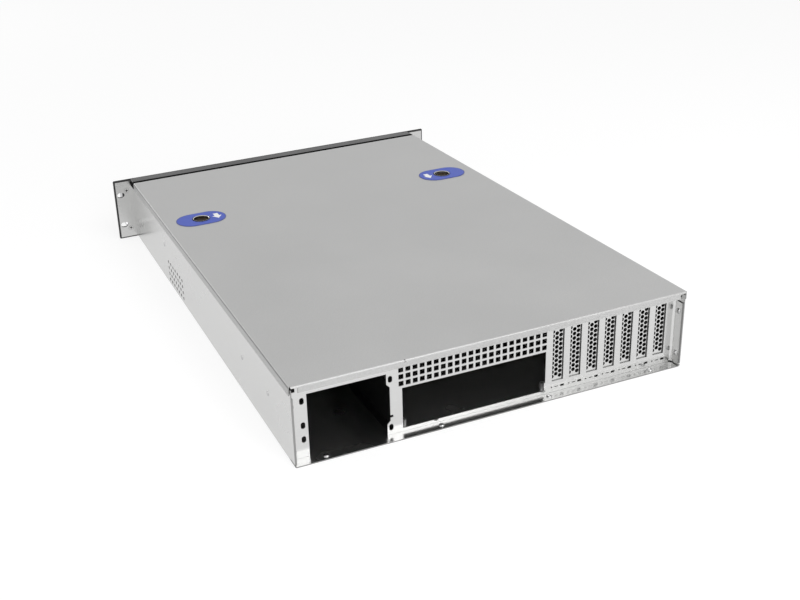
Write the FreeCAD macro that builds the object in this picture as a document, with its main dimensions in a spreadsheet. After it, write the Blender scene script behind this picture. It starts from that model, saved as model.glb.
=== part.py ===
import FreeCAD, Part
import math
import os
import Sketcher

# Empty two-unit rackmount server case, in millimetres.
# X runs across the case, Y from the front panel to the rear, Z up from the floor's underside.
# The origin is at the middle of the bounding box's bottom.
# Holes that take screws into the rack or the board are round; other small round forms have flat sides.

CARD_SLOTS = 7
SIDE_VENTS = 7
SIDE_VENT_ROWS = 4
FANS = 3
LATCH_SIDES = 14
SIDES = {"left": 1, "right": -1}

SIZES = {
    "case_depth": 650.0,          # front panel's face to the floor's rear edge
    "wall_top": 85.7,             # top of the side walls' inward lips
    "lip_width": 10.0,            # inward lip along the top of each side wall
    "steel": 1.2,                 # chassis sheet
    "bend": 1.0,                  # inside radius of the folds
    "loose": 0.1,                 # gap between riveted sheets
    "rest": 0.3,                  # gap between the cover and what it slides on
    # The case's width is the sum of the next eight, from the right wall to the left
    "slot_margin": 12.98,         # right wall's outer face to the last card slot
    "slot_pitch": 20.32,
    "slot_width": 13.1,
    "slot_gap": 7.75,             # first card slot to the input and output opening
    "board_width": 158.75,        # width of the input and output opening
    "post_width": 16.3,           # post between that opening and the power supply's
    "supply_width": 80.7,
    "supply_margin": 19.5,        # power supply opening to the left wall's outer face
    "cover_steel": 1.0,
    "cover_side_gap": 0.5,        # cover's side drop to the side wall
    "cover_side_drop": 9.5,
    "cover_rear_drop": 7.3,
    "cover_overhang": 1.5,        # cover past the floor's rear edge
    "cover_seam": 4.0,            # cover's front edge to the front panel's flange
    "cover_corner": 9.0,          # open corner between side and rear drops
    "cover_notch_place": 101.6,
    "cover_notch_width": 1.4,
    "front_steel": 1.6,
    "front_flange": 19.7,         # depth of the front panel's top flange
    "front_step_lap": 6.0,        # front panel's lowered step under the cover's front edge
    "front_step_side": 1.5,       # that step's ends to the tray's lips
    "front_foot": 0.4,            # panel's lower edge above the floor's underside
    "front_slot_width": 10.0,
    "front_slot_pitch": 20.0,
    "front_slot_edge": 12.0,      # air slots' ends to the panel's lower and upper edges
    "front_slot_side": 32.0,      # air slots to the side walls
    "ear_reach": 25.8,            # front panel past each side wall
    "ear_margin": 2.2,            # black rim seen round the ear plates
    "ear_steel": 1.6,
    "ear_leg": 34.0,
    "ear_slot_play": 0.4,         # ear plate's rack slots over the front panel's
    "rack_inset": 8.75,           # rack slots' centre to the panel's end
    "rack_pitch": 44.45,
    "rack_drop": 0.3,             # middle of the rack slots below the panel's middle
    "rack_slot_length": 10.0,
    "rack_slot_height": 6.8,
    "handle_inset": 17.3,
    "handle_pitch": 56.0,
    "handle_reach": 34.0,
    "handle_rod": 8.0,
    "handle_bend": 9.0,
    "handle_screw": 4.0,
    "handle_screw_head": 6.6,
    "handle_screw_depth": 10.0,
    "panel_recess": 12.0,         # rear panel in from the floor's rear edge
    "panel_drop": 4.5,            # top of the rear panel's inward shelf below the lips
    "panel_side_drop": 12.7,      # top of its side flanges below the lips
    "panel_notch": 8.5,           # upper panel's side edges in from the side walls' outer faces
    "panel_bend": 3.0,            # inside radius of the panel's side folds
    "shelf_depth": 15.0,
    "supply_drop": 17.3,
    "post_step": 3.4,
    "post_slot_top": 57.0,
    "post_tab_top": 22.7,
    "post_tab_base": 20.1,
    "post_foot": 13.2,
    "supply_slot_width": 4.5,
    "supply_slot_height": 7.0,
    "supply_slot_side": 5.0,
    "board_base": 4.9,
    "board_height": 44.45,
    "grid_edge": 0.9,             # first grid column past the opening's left edge
    "grid_gap": 5.15,             # opening's top to the middle of the lowest grid row
    "grid_pitch": 7.5,
    "grid_rise": 7.4,
    "grid_hole": 5.2,
    "grid_room": 14.0,            # grid's highest row to the lips, at least
    "slot_base": 13.4,
    "slot_drop": 14.6,
    "bracket_width": 15.8,
    "bracket_offset": 2.55,       # cover's middle from its slot's middle
    "bracket_shift": 1.55,        # middle column of holes from the cover's middle
    "bracket_steel": 0.9,
    "bracket_gap": 0.3,           # card slot cover behind the rear panel
    "bracket_base": 8.6,
    "bracket_bend": 0.6,
    "bracket_play": 0.3,          # round a card slot cover in the shelf's notch
    "bracket_tab": 11.0,
    "bracket_hole": 3.4,
    "bracket_column": 4.05,
    "bracket_row": 7.0,
    "bracket_first_row": 18.0,
    "bracket_screw": 2.9,
    "bracket_screw_head": 6.0,
    "bracket_screw_rise": 1.6,
    "bracket_screw_length": 4.5,
    "screw_play": 0.15,           # round a screw's shank in its hole
    "vent_hole": 4.2,
    "vent_pitch": 10.9,
    "vent_rise": 8.1,
    "vent_rear": 391.7,           # rearmost side vent hole from the floor's rear edge
    "vent_base": 8.6,
    "wall_place": 464.0,          # fan wall's rear face from the floor's rear edge
    "wall_drop": 5.7,             # fan wall's shelf below the lips
    "wall_flange": 14.0,
    "wall_shelf": 36.0,
    "fan_hole": 66.0,
    "fan_pitch": 100.0,
    "fan_height": 39.0,
    "latch_inset": 45.5,          # latches' centre to the side wall
    "latch_pad_length": 64.0,
    "latch_pad_width": 42.0,
    "latch_pad_height": 0.5,
    "latch_ring": 23.0,
    "latch_ring_height": 0.9,
    "latch_bore": 19.6,
    "latch_head": 18.6,
    "latch_head_height": 1.8,
    "latch_head_gap": 0.6,        # button's top under the cover's underside
    "latch_stem": 6.0,
    "latch_stem_gap": 0.15,
    "latch_stem_tail": 4.0,       # stem below the shelf
    "latch_groove": 0.8,
    "latch_travel": 2.2,
    "latch_clip": 9.0,
    "leaf_width": 9.0,
    "leaf_steel": 0.4,
    "arrow_length": 17.0,
    "arrow_width": 12.0,
    "arrow_place": 20.8,
    "arrow_height": 0.2,
    "guide_length": 230.0,
    "guide_gap": 10.3,            # bay guide to the power supply's opening
    "guide_drop": 7.7,
    "guide_foot": 9.0,
    "rail_length": 210.0,
    "rail_height": 42.0,
    "rail_rise": 14.0,
    "rail_width": 12.0,
    "cage_margin": 55.5,          # drive cage's side to the side wall's outer face
    "cage_drop": 19.7,
    "cage_foot": 12.0,
    "cage_front": 24.0,
    "cage_rear": 42.0,            # drive cage to the fan wall's rear face
    "cage_slot": 44.0,
    "cage_slot_pitch": 75.0,
    "standoff_height": 6.5,
    "standoff_flats": 5.5,
    "standoff_thread": 3.0,
    "standoff_side": 5.0,         # first column to the opening's left edge
    "standoff_row": 23.0,         # first row to the floor's rear edge
    "column_two": 157.48,
    "column_three": 281.94,
    "row_two": 154.94,
    "row_three": 227.33,
    "rivet_head": 6.0,
    "rivet_rise": 1.8,
    "rivet_shank": 3.2,
    "floor_rivet_edge": 33.45,
    "floor_rivet_inset": 5.6,
    "side_rivet_middle": 149.9,
    "side_rivet_near": 69.0,
    "side_rivet_height": 44.2,
    "flange_rivet_inset": 6.0,
    "flange_rivet_low": 14.0,
    "flange_rivet_drop": 10.5,
    "control_inset": 19.5,
    "power_drop": 23.7,
    "power_bore": 12.0,
    "reset_drop": 16.0,
    "reset_bore": 6.0,
    "button_gap": 0.25,
    "button_collar": 1.2,
    "button_proud": 1.2,
    "button_travel": 1.5,
    "light_bore": 3.0,
    "light_drop": 13.0,
    "light_pitch": 7.0,
    "module_width": 20.0,
    "module_depth": 15.0,
    "module_wall": 1.5,
    "module_edge": 11.0,
}

FORMULAS = {
    "case_width": "=slot_margin + %d * slot_pitch + slot_width + slot_gap + board_width" % (CARD_SLOTS - 1)
                  + " + post_width + supply_width + supply_margin",
    "half_width": "=case_width / 2",
    "inside": "=case_width / 2 - steel",
    "rear": "=(case_depth + handle_reach - cover_overhang) / 2",
    "front": "=rear - case_depth",
    "cover_width": "=case_width + 2 * cover_side_gap + 2 * cover_steel",
    "cover_under": "=wall_top + rest",
    "cover_top": "=wall_top + rest + cover_steel",
    "front_width": "=case_width + 2 * ear_reach",
    "rack_span": "=front_width - 2 * rack_inset",
    "rack_height": "=cover_top / 2 - rack_drop",
    "handle_place": "=front_width / 2 - handle_inset",
    "front_back": "=front + front_steel",
    "tray_front": "=front_back + ear_steel + 2 * loose",
    "tray_length": "=rear - tray_front",
    "panel_back": "=rear - panel_recess",
    "panel_face": "=rear - panel_recess - steel",
    "panel_top": "=wall_top - panel_drop",
    "panel_side_top": "=wall_top - panel_side_drop",
    "panel_head": "=half_width - panel_notch",
    "panel_low": "=steel + loose",
    "flange_low": "=steel + bend + loose",
    "supply_left": "=half_width - supply_margin",
    "supply_right": "=supply_left - supply_width",
    "supply_top": "=wall_top - supply_drop",
    "post_edge": "=supply_right - post_step",
    "board_left": "=supply_right - post_width",
    "board_right": "=board_left - board_width",
    "grid_start": "=board_left + grid_edge",
    "grid_low": "=board_base + board_height + grid_gap",
    "slot_first": "=slot_width + slot_gap - board_right",
    "slot_top": "=wall_top - slot_drop",
    "bracket_back": "=panel_face - bracket_gap",
    "wall_height": "=wall_top - wall_drop",
    "latch_place": "=half_width - latch_inset",
    "latch_y": "=rear - wall_place + wall_shelf / 2",
    "guide_place": "=supply_right - guide_gap",
    "guide_height": "=wall_top - guide_drop",
    "cage_width": "=case_width - 2 * cage_margin",
    "cage_length": "=case_depth - wall_place - cage_front - cage_rear",
    "cage_height": "=wall_top - cage_drop",
    "standoff_first": "=board_left - standoff_side",
    "floor_rivet_span": "=case_width - 2 * floor_rivet_edge",
    "side_rivet_far": "=wall_place + wall_flange / 2",
    "flange_rivet_high": "=panel_side_top - flange_rivet_drop",
    "power_place": "=half_width - control_inset",
    "power_height": "=wall_top - power_drop",
    "reset_height": "=power_height - reset_drop",
    "light_height": "=reset_height - light_drop",
}


def make_sheet(doc):
    """Writes the sizes, then the formulas that follow from them, into one sheet."""
    sheet = doc.addObject("Spreadsheet::Sheet", "Sizes")
    row = 1
    for name, number in SIZES.items():
        sheet.set("A%d" % row, name)
        sheet.set("B%d" % row, str(number))
        sheet.setAlias("B%d" % row, name)
        row += 1
    for name, formula in FORMULAS.items():
        sheet.set("A%d" % row, name)
        sheet.set("B%d" % row, formula)
        sheet.setAlias("B%d" % row, name)
        row += 1
    doc.recompute()
    return sheet


def read_sizes(sheet):
    """Returns every size as a plain number under its name."""
    names = list(SIZES) + list(FORMULAS)
    return {name: float(sheet.get(name)) for name in names}


def vec(x, y, z):
    return FreeCAD.Vector(x, y, z)


# Flat outlines

def in_xy(z):
    return lambda point: vec(point[0], point[1], z)


def in_xz(y):
    return lambda point: vec(point[0], y, point[1])


def in_yz(x):
    return lambda point: vec(x, point[0], point[1])


def outline(points, radii, place, steps=0):
    """Closed wire whose corners have radii: true arcs, or that many straight steps in each."""
    edges = []
    count = len(points)
    corners = []
    for i in range(count):
        corner = vec(points[i][0], points[i][1], 0)
        before = (vec(points[i - 1][0], points[i - 1][1], 0) - corner).normalize()
        after = (vec(points[(i + 1) % count][0], points[(i + 1) % count][1], 0) - corner).normalize()
        half = before.getAngle(after) / 2
        if radii[i] <= 0 or half > math.pi / 2 - 1e-6:
            corners.append([corner])
            continue
        back = radii[i] / math.tan(half)
        middle = (before + after).normalize()
        centre = corner + middle * (radii[i] / math.sin(half))
        start = corner + before * back
        end = corner + after * back
        pieces = steps or 2
        turned = []
        for k in range(pieces + 1):
            share = k / pieces
            spread = math.pi - 2 * half
            u = math.sin((1 - share) * spread) / math.sin(spread)
            v = math.sin(share * spread) / math.sin(spread)
            turned.append(centre + (start - centre) * u + (end - centre) * v)
        corners.append(turned)
    for i in range(count):
        turned = corners[i]
        if len(turned) == 3 and steps == 0:
            edges.append(Part.Arc(place(turned[0]), place(turned[1]), place(turned[2])).toShape())
        else:
            for k in range(len(turned) - 1):
                edges.append(Part.LineSegment(place(turned[k]), place(turned[k + 1])).toShape())
        following = corners[(i + 1) % count][0]
        if (following - turned[-1]).Length > 1e-6:
            edges.append(Part.LineSegment(place(turned[-1]), place(following)).toShape())
    return Part.Wire(Part.__sortEdges__(edges))


def folded(path, thickness, inside_radius, place, run, steps=1):
    """Folded sheet: the path is the middle of its section, and run is its length and direction."""
    half = thickness / 2
    left = []
    right = []
    left_radii = []
    right_radii = []
    last = len(path) - 1
    for i, point in enumerate(path):
        here = vec(point[0], point[1], 0)
        into = here - vec(path[i - 1][0], path[i - 1][1], 0) if i > 0 else None
        away = vec(path[i + 1][0], path[i + 1][1], 0) - here if i < last else None
        into = into or away
        away = away or into
        into = vec(into.x, into.y, 0).normalize()
        away = vec(away.x, away.y, 0).normalize()
        normal = vec(-into.y - away.y, into.x + away.x, 0).normalize()
        reach = half / normal.dot(vec(-into.y, into.x, 0))
        left.append(here + normal * reach)
        right.append(here - normal * reach)
        turn = into.x * away.y - into.y * away.x
        inner = inside_radius
        outer = inside_radius + thickness
        left_radii.append(0 if abs(turn) < 1e-6 else (inner if turn > 0 else outer))
        right_radii.append(0 if abs(turn) < 1e-6 else (outer if turn > 0 else inner))
    corners = left + right[::-1]
    radii = left_radii + right_radii[::-1]
    return Part.Face(outline([(p.x, p.y) for p in corners], radii, place, steps)).extrude(run)


def plate(x0, x1, z0, z1, corner, y, depth, steps=1):
    """Upright plate across the case, with its corners cut or rounded."""
    points = [(x0, z0), (x1, z0), (x1, z1), (x0, z1)]
    return Part.Face(outline(points, [corner] * 4, in_xz(y), steps)).extrude(vec(0, depth, 0))


def obround(cx, cz, width, height, y, depth, steps=0):
    """Slot with round ends through an upright plate."""
    radius = min(width, height) / 2 - 0.01
    return plate(cx - width / 2, cx + width / 2, cz - height / 2, cz + height / 2, radius, y, depth, steps)


def prism(centre, radius, sides, axis, depth):
    """Solid with flat sides at one distance from its axis."""
    reach = radius / math.cos(math.pi / sides)
    corners = []
    for k in range(sides + 1):
        angle = 2 * math.pi * (k + 0.5) / sides
        u = reach * math.cos(angle)
        v = reach * math.sin(angle)
        if axis == "x":
            corners.append(centre + vec(0, u, v))
        elif axis == "y":
            corners.append(centre + vec(u, 0, v))
        else:
            corners.append(centre + vec(u, v, 0))
    along = {"x": vec(depth, 0, 0), "y": vec(0, depth, 0), "z": vec(0, 0, depth)}[axis]
    return Part.Face(Part.makePolygon(corners)).extrude(along)


def ring_of(radius, sides, height):
    """Corners of a level polygon whose flat sides lie at one distance from the middle."""
    reach = radius / math.cos(math.pi / sides)
    turns = [2 * math.pi * (k + 0.5) / sides for k in range(sides)]
    return [vec(reach * math.cos(turn), reach * math.sin(turn), height) for turn in turns]


def skinned(rings):
    """Solid through rings of corners: flat faces between neighbours and a cap at each end."""
    sides = len(rings[0])
    faces = [Part.Face(Part.makePolygon(ring + ring[:1])) for ring in (rings[0], rings[-1])]
    for first, second in zip(rings, rings[1:]):
        for k in range(sides):
            after = (k + 1) % sides
            corners = [first[k], first[after], second[after], second[k], first[k]]
            faces.append(Part.Face(Part.makePolygon(corners)))
    return Part.Solid(Part.Shell(faces))


def stacked(profile, sides, place, direction):
    """Turned form with flat sides, from its radii and heights in order."""
    shape = skinned([ring_of(radius, sides, height) for radius, height in profile])
    if shape.Volume < 0:
        shape.reverse()
    shape.Placement = FreeCAD.Placement(place, FreeCAD.Rotation(vec(0, 0, 1), direction))
    return shape


def feature(doc, name, shape):
    """Keeps a finished shape as one labelled object."""
    obj = doc.addObject("Part::Feature", name)
    obj.Shape = shape
    obj.Label = name
    return obj


# Sketches on a body's own planes


def origin_plane(body, role):
    for item in body.Origin.OriginFeatures:
        if item.Role == role:
            return item
    raise ValueError(role)


def new_sketch(body, name, role, lift=None):
    """Sketch on an origin plane, moved along the plane's normal by a sheet formula."""
    sketch = body.newObject("Sketcher::SketchObject", name)
    sketch.AttachmentSupport = [(origin_plane(body, role), "")]
    sketch.MapMode = "FlatFace"
    if lift:
        sketch.setExpression("AttachmentOffset.Base.z", lift)
    return sketch


def add_rectangle(sketch, left, width, base, height):
    """Rectangle held by four sheet formulas: left edge, width, lower edge, height."""
    first = sketch.GeometryCount
    corners = [vec(-5, 1, 0), vec(5, 1, 0), vec(5, 9, 0), vec(-5, 9, 0)]
    for i in range(4):
        sketch.addGeometry(Part.LineSegment(corners[i], corners[(i + 1) % 4]), False)
    for i in range(4):
        sketch.addConstraint(Sketcher.Constraint("Coincident", first + i, 2, first + (i + 1) % 4, 1))
    for i in (0, 2):
        sketch.addConstraint(Sketcher.Constraint("Horizontal", first + i))
    for i in (1, 3):
        sketch.addConstraint(Sketcher.Constraint("Vertical", first + i))
    held = [
        ("DistanceX", (-1, 1, first, 1), -5.0, left),
        ("DistanceX", (first, 1, first, 2), 10.0, width),
        ("DistanceY", (-1, 1, first, 1), 1.0, base),
        ("DistanceY", (first + 1, 1, first + 1, 2), 8.0, height),
    ]
    for kind, ends, start, formula in held:
        index = sketch.addConstraint(Sketcher.Constraint(kind, *ends, start))
        sketch.setExpression("Constraints[%d]" % index, formula)


def pad(body, sketch, name, length, reverse=False):
    item = body.newObject("PartDesign::Pad", name)
    item.Profile = sketch
    item.setExpression("Length", length)
    item.Reversed = reverse
    return item


def pocket(doc, body, sketch, name, length, reverse=False):
    """Pocket whose removal of material is confirmed by the body's volume."""
    doc.recompute()
    before = body.Shape.Volume
    item = body.newObject("PartDesign::Pocket", name)
    item.Profile = sketch
    item.setExpression("Length", length)
    item.Reversed = reverse
    doc.recompute()
    if body.Shape.Volume >= before - 1e-6:
        raise RuntimeError("pocket %s removes nothing" % name)
    return item


def chassis_tray(doc, s):
    """Floor, side walls and their lips, folded from one sheet."""
    half = s["steel"] / 2
    side = s["half_width"] - half
    lip = s["half_width"] - s["lip_width"]
    top = s["wall_top"] - half
    length = s["tray_length"]
    front = s["tray_front"]
    high = top - s["bend"] - s["steel"]
    path = [(-side, high), (-side, half), (side, half), (side, high)]
    walls = folded(path, s["steel"], s["bend"], in_xz(front), vec(0, length, 0), 3)
    lips_length = length - s["panel_recess"] - s["steel"]
    lips = []
    for sign in SIDES.values():
        path = [(sign * side, high - s["steel"]), (sign * side, top), (sign * lip, top)]
        lips.append(folded(path, s["steel"], s["bend"], in_xz(front), vec(0, lips_length, 0), 2))
    shape = walls.multiFuse(lips)
    cuts = []
    for sign in SIDES.values():
        outer = sign * (s["half_width"] + 1)
        for row in range(SIDE_VENT_ROWS):
            for column in range(SIDE_VENTS):
                y = s["rear"] - s["vent_rear"] - column * s["vent_pitch"]
                z = s["vent_base"] + row * s["vent_rise"]
                cuts.append(prism(vec(outer, y, z), s["vent_hole"] / 2, 4, "x", -sign * (s["steel"] + 2)))
        slit = Part.makeBox(s["steel"] + 2, s["panel_recess"] + 1, s["steel"])
        low_x = outer - s["steel"] - 2 if sign > 0 else outer
        slit.translate(vec(low_x, s["rear"] - s["panel_recess"], s["flange_low"]))
        cuts.append(slit)
    for place in floor_rivet_places(s):
        cuts.append(prism(place - vec(0, 0, s["steel"] + 1), s["rivet_shank"] / 2, 6, "z", s["steel"] + 2))
    shape = shape.cut(Part.Compound(cuts)).removeSplitter()
    return feature(doc, "chassis_tray", shape)


def floor_rivet_places(s):
    """Four places in a row across the floor's rear strip."""
    step = s["floor_rivet_span"] / 3
    y = s["rear"] - s["floor_rivet_inset"]
    return [vec(s["floor_rivet_span"] / 2 - step * k, y, s["steel"]) for k in range(4)]


def slot_edge(s, index):
    """Right edge of a card slot, counted from the input and output opening."""
    return -s["slot_first"] - index * s["slot_pitch"]


def rear_panel(doc, s):
    """Recessed rear panel with its openings, folded from one sheet."""
    body = doc.addObject("PartDesign::Body", "rear_panel")
    body.Label = "rear_panel_body"
    back = "-(Sizes.panel_back)"
    flat = new_sketch(body, "PanelFlat", "XZ_Plane", back)
    add_rectangle(flat, "-(Sizes.inside - Sizes.loose)", "2 * (Sizes.inside - Sizes.loose)",
                  "Sizes.panel_low", "Sizes.panel_side_top - Sizes.panel_low")
    pad(body, flat, "PanelSheet", "Sizes.steel")
    head = new_sketch(body, "HeadFlat", "XZ_Plane", back)
    add_rectangle(head, "-Sizes.panel_head", "2 * Sizes.panel_head",
                  "Sizes.panel_side_top - 1", "Sizes.panel_top - Sizes.panel_side_top + 1")
    pad(body, head, "HeadSheet", "Sizes.steel")
    sides = new_sketch(body, "SideFlanges", "XZ_Plane", back)
    for left in ("-(Sizes.inside - Sizes.loose)", "Sizes.inside - Sizes.loose - Sizes.steel"):
        add_rectangle(sides, left, "Sizes.steel", "Sizes.panel_low", "Sizes.panel_side_top - Sizes.panel_low")
    pad(body, sides, "SideFlangeSheet", "Sizes.panel_recess - 1", True)
    shelf = new_sketch(body, "ShelfFlat", "XZ_Plane", "-(Sizes.panel_face)")
    add_rectangle(shelf, "-Sizes.panel_head", "2 * Sizes.panel_head",
                  "Sizes.panel_top - Sizes.steel", "Sizes.steel")
    pad(body, shelf, "ShelfSheet", "Sizes.shelf_depth")
    doc.recompute()
    round_edges(doc, body, "OuterFold", s["inside"] - s["loose"], s["panel_face"],
                "Sizes.panel_bend + Sizes.steel")
    round_edges(doc, body, "InnerFold", s["inside"] - s["loose"] - s["steel"], s["panel_back"],
                "Sizes.panel_bend")
    front = "-(Sizes.panel_back + 1)"
    board = new_sketch(body, "BoardOpening", "XZ_Plane", front)
    add_rectangle(board, "Sizes.board_right", "Sizes.board_width", "Sizes.board_base", "Sizes.board_height")
    pocket(doc, body, board, "BoardPocket", "Sizes.steel + 2", True)
    slot = new_sketch(body, "CardSlot", "XZ_Plane", front)
    add_rectangle(slot, "-Sizes.slot_first", "Sizes.slot_width", "Sizes.slot_base",
                  "Sizes.slot_top - Sizes.slot_base")
    first_slot = pocket(doc, body, slot, "CardSlotPocket", "Sizes.steel + 2", True)
    slots = body.newObject("PartDesign::LinearPattern", "CardSlots")
    slots.Originals = [first_slot]
    slots.Direction = (slot, ["H_Axis"])
    slots.Reversed = True
    slots.setExpression("Length", "Sizes.slot_pitch * %d" % (CARD_SLOTS - 1))
    slots.Occurrences = CARD_SLOTS
    body.Tip = slots
    doc.recompute()
    hole = new_sketch(body, "GridHole", "XZ_Plane", front)
    add_rectangle(hole, "Sizes.grid_start - Sizes.grid_hole / 2", "Sizes.grid_hole",
                  "Sizes.grid_low - Sizes.grid_hole / 2", "Sizes.grid_hole")
    first_hole = pocket(doc, body, hole, "GridPocket", "Sizes.steel + 2", True)
    columns = int(s["board_width"] / s["grid_pitch"]) + 1
    rows = int((s["wall_top"] - s["grid_room"] - s["grid_low"]) / s["grid_rise"]) + 1
    grid = body.newObject("PartDesign::MultiTransform", "SquareGrid")
    grid.Originals = [first_hole]
    across = body.newObject("PartDesign::LinearPattern", "GridAcross")
    across.Direction = (hole, ["H_Axis"])
    across.Reversed = True
    across.setExpression("Length", "Sizes.grid_pitch * %d" % (columns - 1))
    across.Occurrences = columns
    steps = [across]
    if rows > 1:
        upward = body.newObject("PartDesign::LinearPattern", "GridUpward")
        upward.Direction = (hole, ["V_Axis"])
        upward.setExpression("Length", "Sizes.grid_rise * %d" % (rows - 1))
        upward.Occurrences = rows
        steps.append(upward)
    grid.Transformations = steps
    body.Tip = grid
    doc.recompute()
    panel = body.Shape
    cuts = [supply_opening(s)]
    y = s["panel_face"] - 1
    deep = s["steel"] + 2
    for x, z in supply_slot_places(s):
        cuts.append(obround(x, z, s["supply_slot_width"], s["supply_slot_height"], y, deep, 1))
    for k in range(CARD_SLOTS):
        edge = slot_edge(s, k)
        low = s["slot_base"] / 2
        cuts.append(plate(edge - 1.4, edge + 3.0, low - 1.2, low + 1.2, 0, y, deep))
        play = s["bracket_play"]
        depth = s["bracket_gap"] + s["bracket_steel"] + s["bracket_bend"] + play
        notch = Part.makeBox(s["bracket_width"] + 2 * play, depth, 2 * s["steel"])
        low_z = s["panel_top"] - 1.5 * s["steel"]
        notch.translate(vec(bracket_left(s, k) - play, s["panel_face"] - depth, low_z))
        cuts.append(notch)
        shank = s["bracket_screw"] / 2 + s["screw_play"]
        middle = bracket_left(s, k) + s["bracket_width"] / 2
        centre = vec(middle, bracket_screw_y(s), s["panel_top"] - s["steel"] - 1)
        cuts.append(prism(centre, shank + 0.15, 4, "z", s["steel"] + 2))
    for sign in SIDES.values():
        corner = Part.makeBox(s["bend"] + 0.6, 40, s["flange_low"])
        corner.translate(vec(sign * (s["inside"] - s["loose"]) - (s["bend"] + 0.6 if sign > 0 else 0),
                             s["panel_face"] - 20, 0))
        cuts.append(corner)
        under = Part.makeBox(10, s["panel_recess"] + 5, s["flange_low"])
        under.translate(vec(sign * (s["inside"] - s["loose"]) - (10 if sign > 0 else 0), s["panel_back"], 0))
        cuts.append(under)
    tab = plate(s["board_right"] - 0.5, s["board_right"] + 1.4, s["board_base"] - 0.5, s["board_base"] + 9,
                0, s["panel_face"], s["steel"])
    panel = panel.cut(Part.Compound(cuts)).fuse(tab).removeSplitter()
    return feature(doc, "rear_panel", panel)


def round_edges(doc, body, name, side, y, radius):
    """Rounds the two long upright edges at one distance from the middle."""
    chosen = []
    for number, edge in enumerate(body.Shape.Edges, 1):
        if len(edge.Vertexes) < 2 or edge.Length < 40:
            continue
        first = edge.Vertexes[0].Point
        second = edge.Vertexes[1].Point
        upright = abs(first.x - second.x) < 0.01 and abs(first.y - second.y) < 0.01
        if upright and abs(abs(first.x) - side) < 0.01 and abs(first.y - y) < 0.01:
            chosen.append("Edge%d" % number)
    base = body.Tip
    fold = body.newObject("PartDesign::Fillet", name)
    fold.Base = (base, chosen)
    fold.setExpression("Radius", radius)
    doc.recompute()


def supply_slot_places(s):
    """Upright slots beside the power supply opening."""
    outer = s["supply_left"] + s["supply_slot_side"]
    post = s["post_edge"] - 0.6
    return [(outer, 61.8), (outer, 35.8), (outer, 20.7), (post, 62.0), (post, 9.3)]


def supply_opening(s):
    """Opening for the power supply, stepped round the post's two tabs."""
    tab = s["supply_right"]
    post = s["post_edge"]
    step = s["post_step"]
    points = [
        (s["supply_left"], -1),
        (s["supply_left"], s["supply_top"]),
        (tab, s["supply_top"]),
        (tab, s["post_slot_top"]),
        (post, s["post_slot_top"] - step),
        (post, s["post_tab_top"]),
        (post - 3, s["post_tab_top"]),
        (post - 3, s["post_tab_base"]),
        (post, s["post_tab_base"]),
        (post, s["post_foot"] + step),
        (tab, s["post_foot"]),
        (tab, -1),
    ]
    wire = outline(points, [0] * len(points), in_xz(s["panel_face"] - 1))
    return Part.Face(wire).extrude(vec(0, s["steel"] + 2, 0))


def bracket_left(s, index):
    """Lower X edge of one card slot cover, centred near its slot's middle."""
    centre = slot_edge(s, index) + s["slot_width"] / 2 + s["bracket_offset"]
    return centre - s["bracket_width"] / 2


def slot_cover(doc, s, index):
    """Perforated cover of one card slot, with the tab that is screwed to the shelf."""
    back = s["bracket_back"]
    thick = s["bracket_steel"]
    left = bracket_left(s, index)
    top = s["panel_top"] + s["loose"] + thick
    path = [
        (back - thick / 2, s["bracket_base"]),
        (back - thick / 2, top - thick / 2),
        (back - thick / 2 - s["bracket_tab"], top - thick / 2),
    ]
    shape = folded(path, thick, s["bracket_bend"], in_yz(left), vec(s["bracket_width"], 0, 0))
    centre = left + s["bracket_width"] / 2
    middle = centre - s["bracket_shift"]
    cuts = []
    room = s["slot_top"] - s["bracket_first_row"] - 1.0
    rows = int(room / s["bracket_row"]) + 1
    for column in (-1, 0, 1):
        lift = s["bracket_row"] / 2 if column == 0 else 0
        for row in range(rows - 1 if column == 0 else rows):
            place = vec(middle + column * s["bracket_column"], back - thick - 1,
                        s["bracket_first_row"] + lift + row * s["bracket_row"])
            cuts.append(prism(place, s["bracket_hole"] / 2, 4, "y", thick + 2))
    hole = vec(centre, bracket_screw_y(s), top - thick - 1)
    screw = prism(hole, s["bracket_screw"] / 2 + s["screw_play"] + 0.15, 4, "z", thick + 2)
    shape = shape.cut(Part.Compound(cuts + [screw]))
    return feature(doc, "slot_cover_%d" % (index + 1), shape)


def bracket_screw_y(s):
    return s["bracket_back"] - s["bracket_steel"] - s["bracket_tab"] / 2


def slot_screws(doc, s):
    """Small screws that hold the card slot covers to the shelf."""
    screws = []
    top = s["panel_top"] + s["loose"] + s["bracket_steel"]
    shank = s["bracket_screw"] / 2
    head = s["bracket_screw_head"] / 2
    profile = [(shank, -s["bracket_screw_length"]), (shank, 0), (head, 0), (head, s["bracket_screw_rise"])]
    for k in range(CARD_SLOTS):
        place = vec(bracket_left(s, k) + s["bracket_width"] / 2, bracket_screw_y(s), top)
        screws.append(stacked(profile, 6, place, vec(0, 0, 1)))
    return feature(doc, "slot_cover_screws", Part.Compound(screws))


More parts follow.
